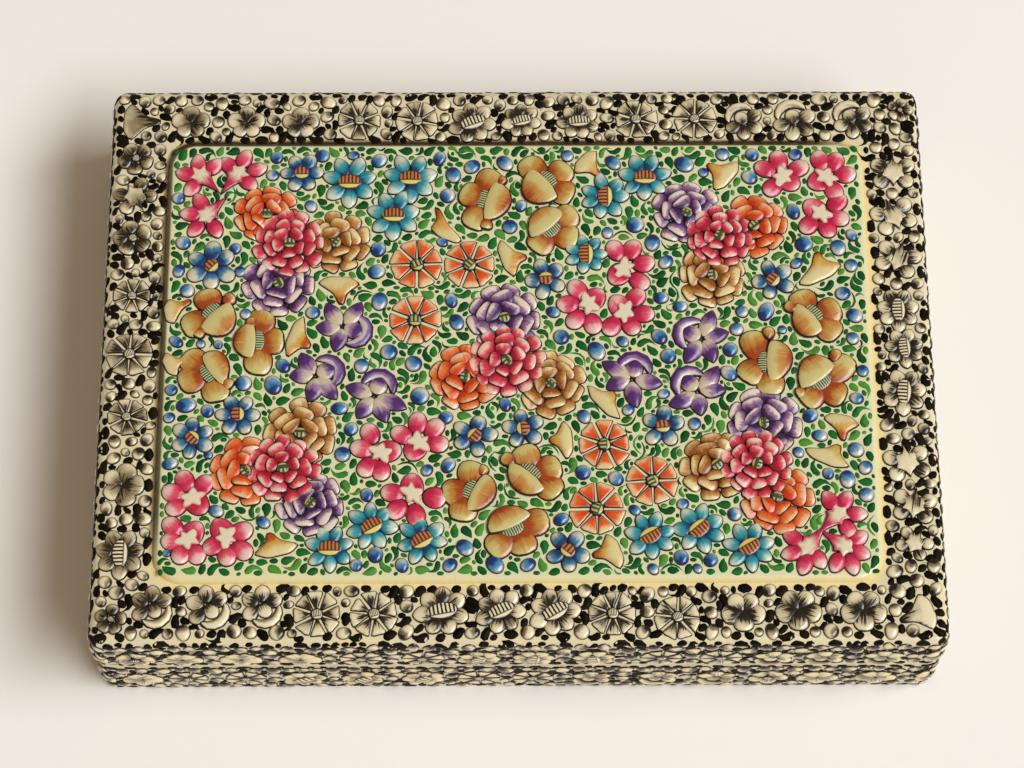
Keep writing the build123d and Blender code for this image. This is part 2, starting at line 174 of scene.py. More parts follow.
class WallFace:
    """The four outer walls as one band. across runs round the box, up is zero where the top edge starts."""

    def __init__(self, name, length, depth, corner, top, top_edge, bottom, bottom_edge):
        self.name = name
        self.half = np.array([length / 2, depth / 2])
        self.corner = corner
        self.straights = np.array([length - 2 * corner, depth - 2 * corner] * 2)
        self.arc = corner * math.pi / 2
        self.round = self.straights.sum() + 4 * self.arc
        self.top, self.top_edge = top, top_edge
        self.bottom, self.bottom_edge = bottom, bottom_edge
        self.top_arc = top_edge * math.pi / 2
        self.bottom_arc = bottom_edge * math.pi / 2
        self.height = self.top_arc + top - top_edge - bottom - bottom_edge + self.bottom_arc

    def middle(self, side):
        """Distance round the box of the middle of a side: 0 front, 1 right, 2 back, 3 left."""
        return sum((self.straights[k] + self.straights[k + 1]) / 2 + self.arc for k in range(side))

    def place(self, across, up, out):
        across, up, out = np.broadcast_arrays(across, up, out)
        down = -up
        drop = self.top - self.top_edge - self.bottom - self.bottom_edge
        bends = [down < self.top_arc, down > self.top_arc + drop]
        above = np.clip(down / max(self.top_edge, 1e-9), 0, math.pi / 2)
        below = np.clip((down - self.top_arc - drop) / max(self.bottom_edge, 1e-9), 0, math.pi / 2)
        over, under = self.top_edge + out, self.bottom_edge + out
        shoulder, foot = self.top - self.top_edge, self.bottom + self.bottom_edge
        offset = np.select(
            bends, [over * np.sin(above) - self.top_edge, under * np.cos(below) - self.bottom_edge], out
        )
        level = shoulder + self.top_arc - down
        height = np.select(bends, [shoulder + over * np.cos(above), foot - under * np.sin(below)], level)
        return np.stack([*self.plan(across, offset), height], axis=-1)

    def plan(self, across, offset):
        """x and y of a point of the outline, pushed out by offset."""
        along = np.mod(across + self.straights[0] / 2, self.round)
        x, y = np.zeros_like(along), np.zeros_like(along)
        start = 0.0
        for side, straight in enumerate(self.straights):
            half_along, half_across = self.half[side % 2], self.half[(side + 1) % 2]
            run = along - start
            here = (run >= 0) & (run < straight + self.arc + 1e-9)
            angle = np.clip((run - straight) / self.corner, 0, math.pi / 2)
            reach = self.corner + offset
            flat = run < straight
            ahead_x = np.where(flat, run - straight / 2, half_along - self.corner + reach * np.sin(angle))
            out_y = np.where(flat, -half_across - offset, self.corner - half_across - reach * np.cos(angle))
            cos, sin = round(math.cos(side * math.pi / 2)), round(math.sin(side * math.pi / 2))
            x = np.where(here, ahead_x * cos - out_y * sin, x)
            y = np.where(here, ahead_x * sin + out_y * cos, y)
            start += straight + self.arc
        return x, y


def panel_face():
    """Top of the raised panel."""
    return TopFace("panel", levels("lid_panel")[1])


def border_face():
    """Border of the lid, round the panel."""
    return BorderFace(*corners_mm("lid_shell"), sizes().corner / MM, sizes().top_edge / MM)


def wall_face(part):
    """Walls of the lid, with its rounded upper edge, or of the tray, with its rounded lower edge."""
    box = sizes()
    is_lid = part == "lid"
    low, high = corners_mm("lid_shell" if is_lid else "base_tray")
    top_edge, bottom_edge = (box.top_edge, 0.0) if is_lid else (0.0, box.bottom_edge)
    return WallFace(
        part + " wall", *(high - low)[:2], box.corner / MM, high[2], top_edge / MM, low[2], bottom_edge / MM
    )


def domes(node):
    """Centre and radius of every separate dome of a CAD relief node, in millimetres."""
    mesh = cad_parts[node].data
    points = np.empty(len(mesh.vertices) * 3)
    mesh.vertices.foreach_get("co", points)
    points = points.reshape(-1, 3) / MM
    _, weld = np.unique(np.round(points, 3), axis=0, return_inverse=True)
    weld = weld.reshape(-1)
    edges = np.empty(len(mesh.edges) * 2, dtype=np.int64)
    mesh.edges.foreach_get("vertices", edges)
    edges = weld[edges.reshape(-1, 2)]
    island = np.arange(weld.max() + 1)
    while True:
        lowest = np.minimum(island[edges[:, 0]], island[edges[:, 1]])
        merged = island.copy()
        np.minimum.at(merged, edges[:, 0], lowest)
        np.minimum.at(merged, edges[:, 1], lowest)
        merged = merged[merged]
        if np.array_equal(merged, island):
            break
        island = merged
    found = []
    for name in np.unique(island):
        part = points[island[weld] == name]
        low, high = part.min(0), part.max(0)
        found.append(((low + high) / 2, (high - low).max() / 2))
    return found


# ---------------------------------------------------------------- gesso and paint as meshes


def flat_lists(faces, spots):
    """Corners, corner counts and bake places of some faces as flat arrays."""
    corners, places = (np.array([each for row in rows for each in row]) for rows in (faces, spots))
    return corners, np.array([len(face) for face in faces]), places


class Grid:
    """Faces and bake map of one kind of patch, shared by every patch of that kind."""

    def __init__(self, rows, columns):
        self.rows, self.columns = rows, columns
        faces, spots = [], []
        width = columns + 2
        for row in range(rows - 1):
            before, after = row / (rows - 1), (row + 1) / (rows - 1)
            for column in range(width - 1):
                corner = row * width + column
                faces.append((corner, corner + width, corner + width + 1, corner + 1))
                low, high = 0.1 + 0.86 * before, 0.1 + 0.86 * after
                left, right = 0.04 + 0.92 * column / (width - 1), 0.04 + 0.92 * (column + 1) / (width - 1)
                spots.append([(left, low), (left, high), (right, high), (right, low)])
            corner = row * width
            faces.append((corner + width - 1, corner + 2 * width - 1, corner + width, corner))
            left, right = 0.2 + 0.7 * before, 0.2 + 0.7 * after
            spots.append([(left, 0.02), (right, 0.02), (right, 0.06), (left, 0.06)])
        end = range(rows * width - 1, (rows - 1) * width - 1, -1)
        around = [2 * math.pi * k / width for k in range(width)]
        for cap, centre in ((range(width), 0.05), (end, 0.14)):
            faces.append(cap)
            spots.append([(centre + 0.02 * math.cos(a), 0.05 + 0.02 * math.sin(a)) for a in around])
        self.corners, self.totals, self.spots = flat_lists(faces, spots)


class Fan:
    """Faces and bake map of a patch of rings round a centre."""

    def __init__(self, sides, rings):
        self.sides, self.rings = sides, rings
        self.turns = np.linspace(0, 2 * math.pi, sides, endpoint=False)
        faces, spots = [], []
        spokes = [2 * math.pi * k / sides for k in range(sides + 1)]
        reaches = [0.48] + [0.45 * (1 - ring / rings) for ring in range(rings)]

        def spot(ring, side):
            return 0.5 + reaches[ring] * math.cos(spokes[side]), 0.5 + reaches[ring] * math.sin(spokes[side])

        for ring in range(rings):
            for side in range(sides):
                quad = ((ring, side), (ring, side + 1), (ring + 1, side + 1), (ring + 1, side))
                faces.append([row * sides + spoke % sides for row, spoke in quad])
                spots.append([spot(*corner) for corner in quad])
        rim = rings * sides
        for side in range(sides):
            faces.append((rim + side, rim + (side + 1) % sides, rim + sides))
            spots.append([spot(rings, side), spot(rings, side + 1), (0.5, 0.5)])
        faces.append(range(sides - 1, -1, -1))
        spots.append([(0.06 + 0.04 * math.cos(a), 0.06 + 0.04 * math.sin(a)) for a in spokes[:-1]])
        self.corners, self.totals, self.spots = flat_lists(faces, spots)


PETAL_GRID = Grid(11, 9)
STROKE_GRID = Grid(8, 3)
DISC_FAN = Fan(28, 5)
STAR_FAN = Fan(36, 5)
BEAD_FAN = Fan(18, 3)


def distance_to_outline(points, outline):
    """How far each point is from a closed line of points."""
    along = np.roll(outline, -1, axis=0) - outline
    length = np.maximum((along**2).sum(-1), 1e-12)
    gap = points[:, None] - outline
    share = np.clip((gap * along).sum(-1) / length, 0, 1)
    return np.sqrt(((gap - share[..., None] * along) ** 2).sum(-1)).min(1)


def ease(count):
    """Shares from 0 to 1, closer together at both ends."""
    return (1 - np.cos(np.linspace(0, math.pi, count))) / 2


def leaf_width(share, neck, blunt):
    """Half-width along a petal, 1 where it is widest. A low neck or blunt makes a full start or end."""
    peak = neck / (neck + blunt)
    return (share**neck) * ((1 - share) ** blunt) / (peak**neck * (1 - peak) ** blunt)


def bow(base, tip, bend, count):
    """Centre line from base to tip, bowed to its left by a share of its length."""
    base, tip = np.asarray(base, float), np.asarray(tip, float)
    share = ease(count)[:, None]
    along = tip - base
    left = np.array([-along[1], along[0]])
    return base + share * along + 4 * share * (1 - share) * bend * left


def arc_line(centre, radius, start, end, count):
    """Centre line along an arc."""
    angle = start + ease(count) * (end - start)
    return np.asarray(centre, float) + radius * np.stack([np.cos(angle), np.sin(angle)], axis=-1)


def ahead(angle, reach=1.0):
    """A step of the given length at an angle."""
    return np.array([math.cos(angle), math.sin(angle)]) * reach


def unit(step):
    """A step of the same direction, of length 1."""
    return step / np.linalg.norm(step)


SINK_SLOPE = 1.1  # how far outside a flower that stands over it a petal is back at its full height, in mm
SINKING = (0, 3)  # finishes of the petals that sink
SUNK = 0.12  # share of its height that a petal keeps under such a flower


class Relief:
    """The petals, eyes or strokes of one piece, gathered patch by patch on one face of the box."""

    def __init__(self, name, face, finishes, seed):
        self.name, self.face, self.finishes = name, face, finishes
        self.random = np.random.default_rng(seed)
        self.patches = []
        self.outlines = []
        self.sinks = []

    def either(self, lean):
        """A lean to one side or to the other."""
        return self.random.choice([-lean, lean])

    def add(self, plan, height, paint, grid, finish, outline):
        """Keeps one patch: its plan, its height over the ground, its paint coordinates and its outline.

        Petals sink where another flower stands over them."""
        for x, y, radius in self.sinks:
            apart = np.hypot(plan[:, 0] - x, plan[:, 1] - y)
            share = np.clip((apart - radius) / SINK_SLOPE, SUNK, 1)
            if finish in SINKING:
                height = -ROOT_DEPTH + (height + ROOT_DEPTH) * share
        mark = np.full(len(plan), self.random.random())
        self.patches.append((plan, height, paint, mark, grid, finish))
        self.outlines.append(outline)

    def ribbon(
        self, line, width, height, neck, blunt, *, lift=(0.0, 0.0), tilt=0.0, finish=0,
        grid=PETAL_GRID, flat=False, ragged=0.0,
    ):
        """A petal or stroke along a centre line: a half-width and a pillow height at every row."""
        share = ease(grid.rows)[:, None]
        half = np.maximum(leaf_width(share, neck, blunt), 0.02)
        ahead_of = np.gradient(line, axis=0)
        ahead_of /= np.maximum(np.linalg.norm(ahead_of, axis=1, keepdims=True), 1e-9)
        left = np.stack([-ahead_of[:, 1], ahead_of[:, 0]], axis=-1)
        across = np.sin(np.linspace(-math.pi / 2, math.pi / 2, grid.columns))
        spread = half * width / 2 * across
        if ragged:
            spread = spread * self.random.uniform(1 - ragged, 1 + ragged, spread.shape)
        top = line[:, None] + left[:, None] * spread[..., None]
        crown = np.clip(1 - across**2, 0, 1) ** 0.68
        if flat:
            crown = np.minimum(crown * 1.6, 1.0)
        rise = height * crown * half**0.6
        rise = rise + lift[0] + (lift[1] - lift[0]) * share
        rise = rise + tilt * across * half
        outline = np.concatenate([top[:, 0], top[::-1, -1]])
        edge = distance_to_outline(top.reshape(-1, 2), outline).reshape(rise.shape)
        sides = ((0, 0), (1, 1))
        coat = np.stack(
            np.broadcast_arrays(share, np.pad(across, 1, "edge"), np.pad(edge, sides)), axis=-1
        )
        rise = np.pad(np.maximum(rise, 0.0), sides, constant_values=-ROOT_DEPTH)
        plan = np.pad(top, (*sides, (0, 0)), "edge")
        self.add(plan.reshape(-1, 2), rise.reshape(-1), coat.reshape(-1, 3), grid, finish, outline)

    def petal(self, base, tip, width, height, bend=0.0, **shape):
        """A petal from its base to its tip."""
        self.ribbon(bow(base, tip, bend, PETAL_GRID.rows), width, height, **shape)

    def disc(self, outline, height, *, lift=0.0, plateau=2.0, finish=0, axis=None, grid=DISC_FAN):
        """A low mound over any outline that its centre sees all of, such as an eye, a berry or a star.

        axis is (start, end, width) where the paint runs along the patch instead of round its centre."""
        outline = np.asarray(outline, float)
        centre = outline.mean(0)
        reaches = np.sin(np.linspace(math.pi / 2, 0, grid.rings + 1))[:-1]
        rings = [outline] + [centre + (outline - centre) * reach for reach in reaches]
        plan = np.concatenate(rings + [centre[None]])
        shares = np.concatenate([np.repeat([1.0, *reaches], grid.sides), [0.0]])
        rise = lift + height * np.sqrt(np.clip(1 - shares**plateau, 0, 1))
        rise[: grid.sides] = -ROOT_DEPTH
        if axis is None:
            across = (plan - centre) / np.abs(outline - centre).max(0)
        else:
            start, end, width = np.asarray(axis[0], float), np.asarray(axis[1], float), axis[2]
            length = np.linalg.norm(end - start)
            x, y = (end - start) / length
            across = (plan - start) @ np.array([[x, -y], [y, x]]) / (length, width / 2)
        coat = np.column_stack([across, distance_to_outline(plan, outline)])
        self.add(plan, rise, coat, grid, finish, outline)

    def oval(self, centre, length, width, angle, height, **shape):
        """An oval mound with its long axis at an angle. Its paint turns with it."""
        around = shape.get("grid", DISC_FAN).turns
        local = np.stack([np.cos(around) * length / 2, np.sin(around) * width / 2], axis=-1)
        cos, sin = math.cos(angle), math.sin(angle)
        centre = np.asarray(centre, float)
        reach = ahead(angle, length / 2)
        outline = local @ np.array([[cos, sin], [-sin, cos]]) + centre
        self.disc(outline, height, axis=(centre - reach, centre + reach, width), **shape)

    def build(self, body, slot, *replaced):
        """Makes the piece, seats it in the frame and keeps its outlines, which the strokes keep clear of."""
        if not self.patches:
            raise RuntimeError(f"{self.name} has no patches")
        made_outlines.setdefault(self.face.name, []).extend(self.outlines)
        across = math.ceil(math.sqrt(len(self.patches)))
        points, loops, finishes, spots = [], [], [], []
        start = 0
        for number, (plan, height, _, _, grid, finish) in enumerate(self.patches):
            points.append(self.face.place(*plan.T, height))
            loops.append(grid.corners + start)
            spots.append((grid.spots + (number % across, number // across)) / across)
            finishes.append(np.full(len(grid.totals), finish))
            start += len(plan)
        totals = np.concatenate([patch[4].totals for patch in self.patches])
        mesh = make_mesh(
            self.name, np.concatenate(points) * MM, np.concatenate(loops), totals, np.concatenate(finishes),
            self.finishes,
        )
        mesh.uv_layers.new(name="OFBake").data.foreach_set("uv", np.concatenate(spots).ravel())
        for kind, name, key, field in (("FLOAT_VECTOR", "coat", "vector", 2), ("FLOAT", "tone", "value", 3)):
            values = np.concatenate([patch[field] for patch in self.patches])
            mesh.attributes.new(name, kind, "POINT").data.foreach_set(key, values.ravel())
        return seat(mesh, body, slot, *replaced)


def make_mesh(name, points, loops, totals, finishes, materials):
    """A smooth mesh from flat lists of corners."""
    mesh = bpy.data.meshes.new(name)
    mesh.vertices.add(len(points))
    mesh.vertices.foreach_set("co", np.ascontiguousarray(points, dtype=np.float32).ravel())
    mesh.loops.add(len(loops))
    mesh.loops.foreach_set("vertex_index", np.array(loops, dtype=np.int32))
    mesh.polygons.add(len(totals))
    starts = np.concatenate([[0], np.cumsum(totals)[:-1]]).astype(np.int32)
    mesh.polygons.foreach_set("loop_start", starts)
    mesh.polygons.foreach_set("loop_total", np.array(totals, dtype=np.int32))
    mesh.update(calc_edges=True)
    for material in materials:
        mesh.materials.append(material)
    mesh.polygons.foreach_set("material_index", np.array(finishes, dtype=np.int32))
    mesh.polygons.foreach_set("use_smooth", np.ones(len(totals), dtype=bool))
    mesh.update()
    return mesh


def seat(mesh, body, slot, *replaced):
    """Links a mesh as a piece that rides on a body."""
    piece = bpy.data.objects.new(mesh.name, mesh)
    bpy.context.scene.collection.objects.link(piece)
    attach(piece, body)
    for node in replaced:
        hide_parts(node)
    return piece


# ---------------------------------------------------------------- flowers


def ring(relief, centre, petals, turn, near, far, width, height, skew, **shape):
    """Petals side by side round a centre, from one distance to another."""
    draw = relief.random
    for number in range(petals):
        angle = turn + 2 * math.pi * (number + draw.uniform(-skew, skew)) / petals
        reach = far * draw.uniform(0.94, 1.05)
        side = ahead(angle + math.pi / 2, draw.uniform(-skew, skew) * width)
        relief.petal(
            centre + ahead(angle, near) + side, centre + ahead(angle, reach),
            width * draw.uniform(0.93, 1.07), height, bend=draw.uniform(-skew, skew),
            tilt=relief.either(0.09), **shape,
        )


def rosette(relief, x, y, radius, turn, outer, middle, inner, height, lift=0.0):
    """A double flower: three rings of petals that lie over each other like scales, and a small eye."""
    centre = np.array([x, y])
    for count, start, near, far, fill, step in (
        (outer, 0.0, 0.5, 1.0, 1.62, 0.0),
        (middle, 0.4, 0.26, 0.76, 1.16, 0.34),
        (inner, 0.9, 0.1, 0.48, 0.62, 0.66),
    ):
        width = fill * radius * math.tan(math.pi / count)
        ring(
            relief, centre, count, turn + start, near * radius, far * radius, width, height * 0.78, 0.07,
            lift=(lift + step - 0.34, lift + step), neck=0.48, blunt=0.29,
        )
    relief.oval(centre, 3.0, 2.7, turn, 0.4, lift=lift + 0.72, finish=1)


def star_mouth(mouth, angle, radius):
    """Outline of a five-pointed star."""
    around = STAR_FAN.turns
    wave = np.abs(((around * 5 / (2 * math.pi)) % 1.0) - 0.5) * 2
    around = around + 0.12 * np.sin(2 * around + mouth[0])
    reach = radius * (0.54 + 0.46 * wave**1.2) * (1 + 0.16 * np.sin(around * 2 + mouth[1]))
    return mouth + np.stack([np.cos(around + angle) * reach, np.sin(around + angle) * reach], axis=-1)


def trumpet_mouth(mouth, angle, length, radius):
    """Outline of a trumpet with a five-pointed mouth, seen from the side: (turn, reach) from the mouth."""
    half = (
        (0.0, length), (0.3, length * 0.5), (0.75, radius * 0.85), (1.12, radius), (1.52, radius * 0.62),
        (2.05, radius * 1.05), (2.6, radius * 0.62), (math.pi, radius * 1.05),
    )
    rim = [*half, *((-turn, reach) for turn, reach in half[-2:0:-1])]
    corners = np.array([mouth + ahead(angle + turn, reach) for turn, reach in rim])
    share = np.linspace(0, 1, STAR_FAN.sides, endpoint=False) * len(corners)
    closed = np.concatenate([corners, corners[:1]])
    return np.stack([np.interp(share, np.arange(len(closed)), closed[:, axis]) for axis in (0, 1)], axis=-1)


def star_blossom(relief, mouth, tube_turn, fat, petals, height):
    """A blossom seen from the side: four petals fanned round a trumpet with a star mouth."""
    mouth = np.array(mouth, float)
    draw = relief.random
    turn = math.radians(tube_turn)
    for x, y, *size in petals:
        length, width = size or ((4.9, 4.4) if fat else (4.6, 3.8))
        spot = np.array([x, y])
        away = unit(spot - mouth)
        relief.petal(
            spot - away * length * 0.6, spot + away * length * 0.5, width, height,
            bend=draw.uniform(-0.07, 0.07), neck=0.5, blunt=0.45 if fat else 0.6, tilt=relief.either(0.1),
        )
    if fat:
        relief.petal(
            mouth - ahead(turn, 1.2), mouth + ahead(turn, 4.7), 5.2, height, neck=0.4, blunt=0.5,
            lift=(0.1, 0.0), finish=3,
        )
        relief.disc(star_mouth(mouth, turn, 2.8), 0.2, lift=0.46, plateau=4.0, grid=STAR_FAN, finish=2)
        return
    outline = trumpet_mouth(mouth, turn, 6.2, 2.7)
    axis = (mouth + ahead(turn, 6.2), mouth - ahead(turn, 2.8), 5.2)
    relief.disc(outline, 0.34, lift=0.46, plateau=3.0, axis=axis, grid=STAR_FAN, finish=1)


def poppy(relief, eye, tilt, petals, height):
    """A cup of round petals, a long striped seed head, and a shell-shaped petal in front of it."""
    eye = np.array(eye, float)
    draw = relief.random
    (front_x, front_y, *size), *rest = petals
    for x, y, *small in rest[::-1]:
        length, width = small or (5.4, 6.5)
        spot = np.array([x, y])
        away = unit(spot - eye)
        inner = spot - away * length / 2 if small and small[0] < 4 else eye + away * 0.2
        relief.petal(
            inner, spot + away * length / 2, width, height, bend=draw.uniform(-0.06, 0.06), neck=0.5,
            blunt=0.34, lift=(0.16, 0.16) if small else (0.0, 0.0), tilt=relief.either(0.1),
        )
    length, width = size or (5.4, 7.4)
    along = ahead(math.radians(tilt))
    out = np.array([-along[1], along[0]])
    spot = np.array([front_x, front_y]) - eye
    out = out if spot @ out > 0 else -out
    depth = spot @ out + length / 2
    relief.oval(eye - out * 0.3, 5.4, 3.4, math.radians(tilt), 0.42, lift=0.56, finish=1)
    around = DISC_FAN.turns
    bulge = np.abs(np.sin(around)) ** 1.2 * np.where(np.sin(around) > 0, depth - 1.0, -1.4)
    drift = (spot @ along) * np.clip(np.sin(around), 0, 1)
    shell = eye + out + along * (np.cos(around) * width * 0.63 + drift)[:, None] + out * bulge[:, None]
    axis = (eye - out * 0.4, eye + out * depth, width)
    relief.disc(shell, height * 0.86, lift=0.46, plateau=2.4, axis=axis, finish=2)


WEDGES = 8  # petals of a pinwheel


def pinwheel(relief, x, y, radius, turn, height):
    """A flat flower of wedge petals with bare slits between them."""
    centre = np.array([x, y])
    draw = relief.random
    for number in range(WEDGES):
        angle = turn + 2 * math.pi * (number + draw.uniform(-0.06, 0.06)) / WEDGES
        half = math.pi / WEDGES - 0.008
        reach = radius * draw.uniform(0.95, 1.05)
        rim_skew = draw.uniform(-0.06, 0.06)
        near = 0.24 * radius
        corners = (
            (-0.6, near), (-0.955, reach * (1 + rim_skew)), (-0.5, reach * 1.02), (0.0, reach * 0.99),
            (0.5, reach * 1.02), (0.955, reach * (1 - rim_skew)), (0.6, near),
        )
        corners = np.array([ahead(angle + half * swing, far) for swing, far in corners])
        outline = evenly(corners + centre, DISC_FAN.sides)
        relief.disc(
            outline, height, plateau=4.0,
            axis=(centre + ahead(angle, near), centre + ahead(angle, reach), 2 * reach * math.sin(half)),
        )
    relief.oval(centre, 0.54 * radius, 0.52 * radius, turn, 0.4, lift=0.24, finish=1)


def evenly(corners, count):
    """Points at even distances along a closed line, starting at its first corner."""
    closed = np.concatenate([corners, corners[:1]])
    steps = np.linalg.norm(np.diff(closed, axis=0), axis=1)
    along = np.concatenate([[0], np.cumsum(steps)])
    wanted = np.linspace(0, along[-1], count, endpoint=False)
    return np.stack([np.interp(wanted, along, closed[:, axis]) for axis in (0, 1)], axis=-1)


def daisy(relief, x, y, radius, petals, eye, eye_turn, turn, fill, height, neck, blunt):
    """A single flower of separate petals round an oval eye."""
    centre = np.array([x, y])
    width = fill * radius * math.tan(math.pi / petals)
    ring(relief, centre, petals, turn, 0.16 * radius, radius, width, height, 0.05, neck=neck, blunt=blunt)
    relief.oval(centre, *eye, eye_turn, 0.4, lift=0.48, finish=1)


def iris(relief, open_turn, heart, petals, height):
    """An iris: a crescent hood, a pointed petal inside it and four falls that meet at one point."""
    heart = np.array(heart, float)
    draw = relief.random
    turn = math.radians(open_turn)
    knot = heart - ahead(turn, 2.2)
    hood = arc_line(heart - ahead(turn, 0.2), 3.3, turn - 1.75, turn + 1.75, PETAL_GRID.rows)
    relief.ribbon(hood, 3.0, height, neck=0.55, blunt=0.55, finish=2)
    for x, y in petals:
        away = np.array([x, y], float) - knot
        reach = np.linalg.norm(away)
        away /= reach
        relief.petal(
            knot + away * 0.2, knot + away * (reach + 2.8), 4.0, height, lift=(0.1, 0.0),
            bend=draw.uniform(-0.08, 0.08), neck=0.62, blunt=0.74, tilt=relief.either(0.1),
        )
    relief.petal(knot, heart + ahead(turn, 2.5), 4.2, height, neck=0.5, blunt=0.55, lift=(0.2, 0.14))


def trumpet_bud(relief, tip, first, second, height, start=1.3):
    """A closed trumpet bud: a narrow tip that widens to a bowed mouth."""
    tip, first, second = (np.array(corner, float) for corner in (tip, first, second))
    middle = (first + second) / 2
    along = unit(middle - tip)
    tip = tip + along * 0.2
    first, second = (middle + (corner - middle) * 1.12 for corner in (first, second))
    wide = np.linalg.norm(first - second)
    side = (first - second) / wide
    corners = [
        tip - side * 0.7, tip + side * 0.7, tip * 0.5 + first * 0.5 - side * 0.1 * wide, first,
        middle + along * 1.7 + side * 0.25 * wide, middle + along * 1.7 - side * 0.25 * wide, second,
        tip * 0.5 + second * 0.5 + side * 0.1 * wide,
    ]
    outline = evenly(rounded(np.array(corners)), DISC_FAN.sides)
    relief.disc(outline, height, plateau=2.4, axis=(tip - along * start, middle + along * 1.7, wide))


def rounded(corners):
    """A closed line with its corners cut twice, so that it runs in soft bends."""
    for _ in range(2):
        after = np.roll(corners, -1, axis=0)
        near = corners * 0.88 + after * 0.12
        far = corners * 0.12 + after * 0.88
        corners = np.stack([near, far], axis=1).reshape(-1, 2)
    return corners


def berry(relief, x, y, radius, height, **shape):
    """A round berry."""
    turn = relief.random.uniform(0, 2 * math.pi)
    stretch = relief.random.uniform(1.0, 1.16)
    height = height * min(radius, 1.7) / 1.7
    relief.oval((x, y), 2 * radius * stretch, 2 * radius / stretch, turn, height, **shape)


# ---------------------------------------------------------------- black and ivory flowers of the border


BORDER_BUD, BORDER_PINWHEEL = 0.5, 0.44  # heights of these lower flowers, in mm


def border_petals(relief, centre, radius, places, near, width, blunt, lean, lift=(0.0, 0.0)):
    """Petals of a border flower, each to its own (turn, reach). Lengths are shares of the flower's radius."""
    for turn, reach in places:
        relief.petal(
            centre + ahead(turn, near * radius), centre + ahead(turn, reach * radius), width * radius,
            sizes().border_petal / MM, neck=0.6, blunt=blunt, tilt=relief.either(lean), lift=lift,
        )


def pansy(relief, x, y, radius, turn):
    """Five broad petals that lie over each other round a dark heart, the front one on top."""
    for swings, reach, width, lift in (
        ((2.5, -2.5), 0.95, 0.84, 0.0), ((1.3, -1.3), 1.05, 0.98, 0.0), ((0.0,), 1.0, 1.0, 0.12),
    ):
        places = [(turn + swing, reach) for swing in swings]
        border_petals(relief, np.array([x, y]), radius, places, -0.04, width, 0.42, 0.06, (lift, 0.0))


def five_petals(relief, x, y, radius, turn):
    """Five round petals and a round eye."""
    centre = np.array([x, y])
    turns = (turn + 2 * math.pi * number / 5 + relief.random.uniform(-0.1, 0.1) for number in range(5))
    border_petals(relief, centre, radius, ((angle, 1.0) for angle in turns), 0.2, 0.92, 0.45, 0.07)
    relief.oval(centre, 0.5 * radius, 0.46 * radius, turn, 0.3, lift=0.46, finish=1)


def crescent_flower(relief, x, y, radius, turn):
    """A crescent hood over a round petal, with four petals behind."""
    centre = np.array([x, y])
    places = [(turn + swing, 1.02) for swing in (1.5, -1.5, 2.6, -2.6)]
    border_petals(relief, centre, radius, places, 0.15, 0.76, 0.55, 0.06)
    relief.oval(centre + ahead(turn, 0.24 * radius), 0.78 * radius, 0.72 * radius, turn, 0.42, lift=0.12)
    middle = centre + ahead(turn, 0.2 * radius)
    hood = arc_line(middle, 0.68 * radius, turn - 1.45, turn + 1.45, PETAL_GRID.rows)
    height = sizes().border_petal / MM
    relief.ribbon(hood, 0.5 * radius, height, neck=0.5, blunt=0.5, lift=(0.1, 0.1), finish=2)


def striped_daisy(relief, x, y, radius, turn):
    """Pointed petals round a long oval eye with ribs across it."""
    centre = np.array([x, y])
    turns = [turn + 2 * math.pi * (number + 0.5) / 7 for number in range(7)]
    places = [(angle, 1.2 - 0.16 * abs(math.sin(angle - turn))) for angle in turns]
    border_petals(relief, centre, radius, places, 0.25, 0.76, 0.6, 0.09)
    relief.oval(centre, 1.3 * radius, 0.72 * radius, turn, 0.4, lift=0.5, finish=1)


def side_star(relief, x, y, radius, turn):
    """A fan of four petals round a trumpet with a star mouth."""
    centre = np.array([x, y])
    places = [(turn + swing, 1.12) for swing in (1.1, 2.25, -2.25, -1.1)]
    border_petals(relief, centre, radius, places, 0.25, 0.78, 0.5, 0.09)
    outline = trumpet_mouth(centre, turn, 0.9 * radius, 0.7 * radius)
    axis = (centre + ahead(turn, 1.5 * radius), centre - ahead(turn, 0.6 * radius), 1.2 * radius)
    relief.disc(outline, 0.34, lift=0.36, plateau=3.0, axis=axis, grid=STAR_FAN)


def border_bud(relief, x, y, radius, turn):
    """A trumpet bud whose narrow tip points along turn."""
    corners = [np.array([x, y]) + ahead(turn + swing, 1.05 * radius) for swing in (0.0, 2.0, -2.0)]
    trumpet_bud(relief, *corners, BORDER_BUD, 0.0)


BORDER_KINDS = {
    "bud": border_bud,
    "pansy": pansy,
    "pinwheel": functools.partial(pinwheel, height=BORDER_PINWHEEL),
    "striped": striped_daisy,
    "iris": crescent_flower,
    "five": five_petals,
    "star": side_star,
}


# ---------------------------------------------------------------- brush strokes between the flowers


STROKE_TURNS = 16  # ways that a stroke may lie
AS_GOOD = 0.12  # less room than the best way by so much, in mm, still makes a way as good
BATCH = 512  # places that are looked at together
BEAD_GAP = 0.2  # bare ground round a bead, in mm


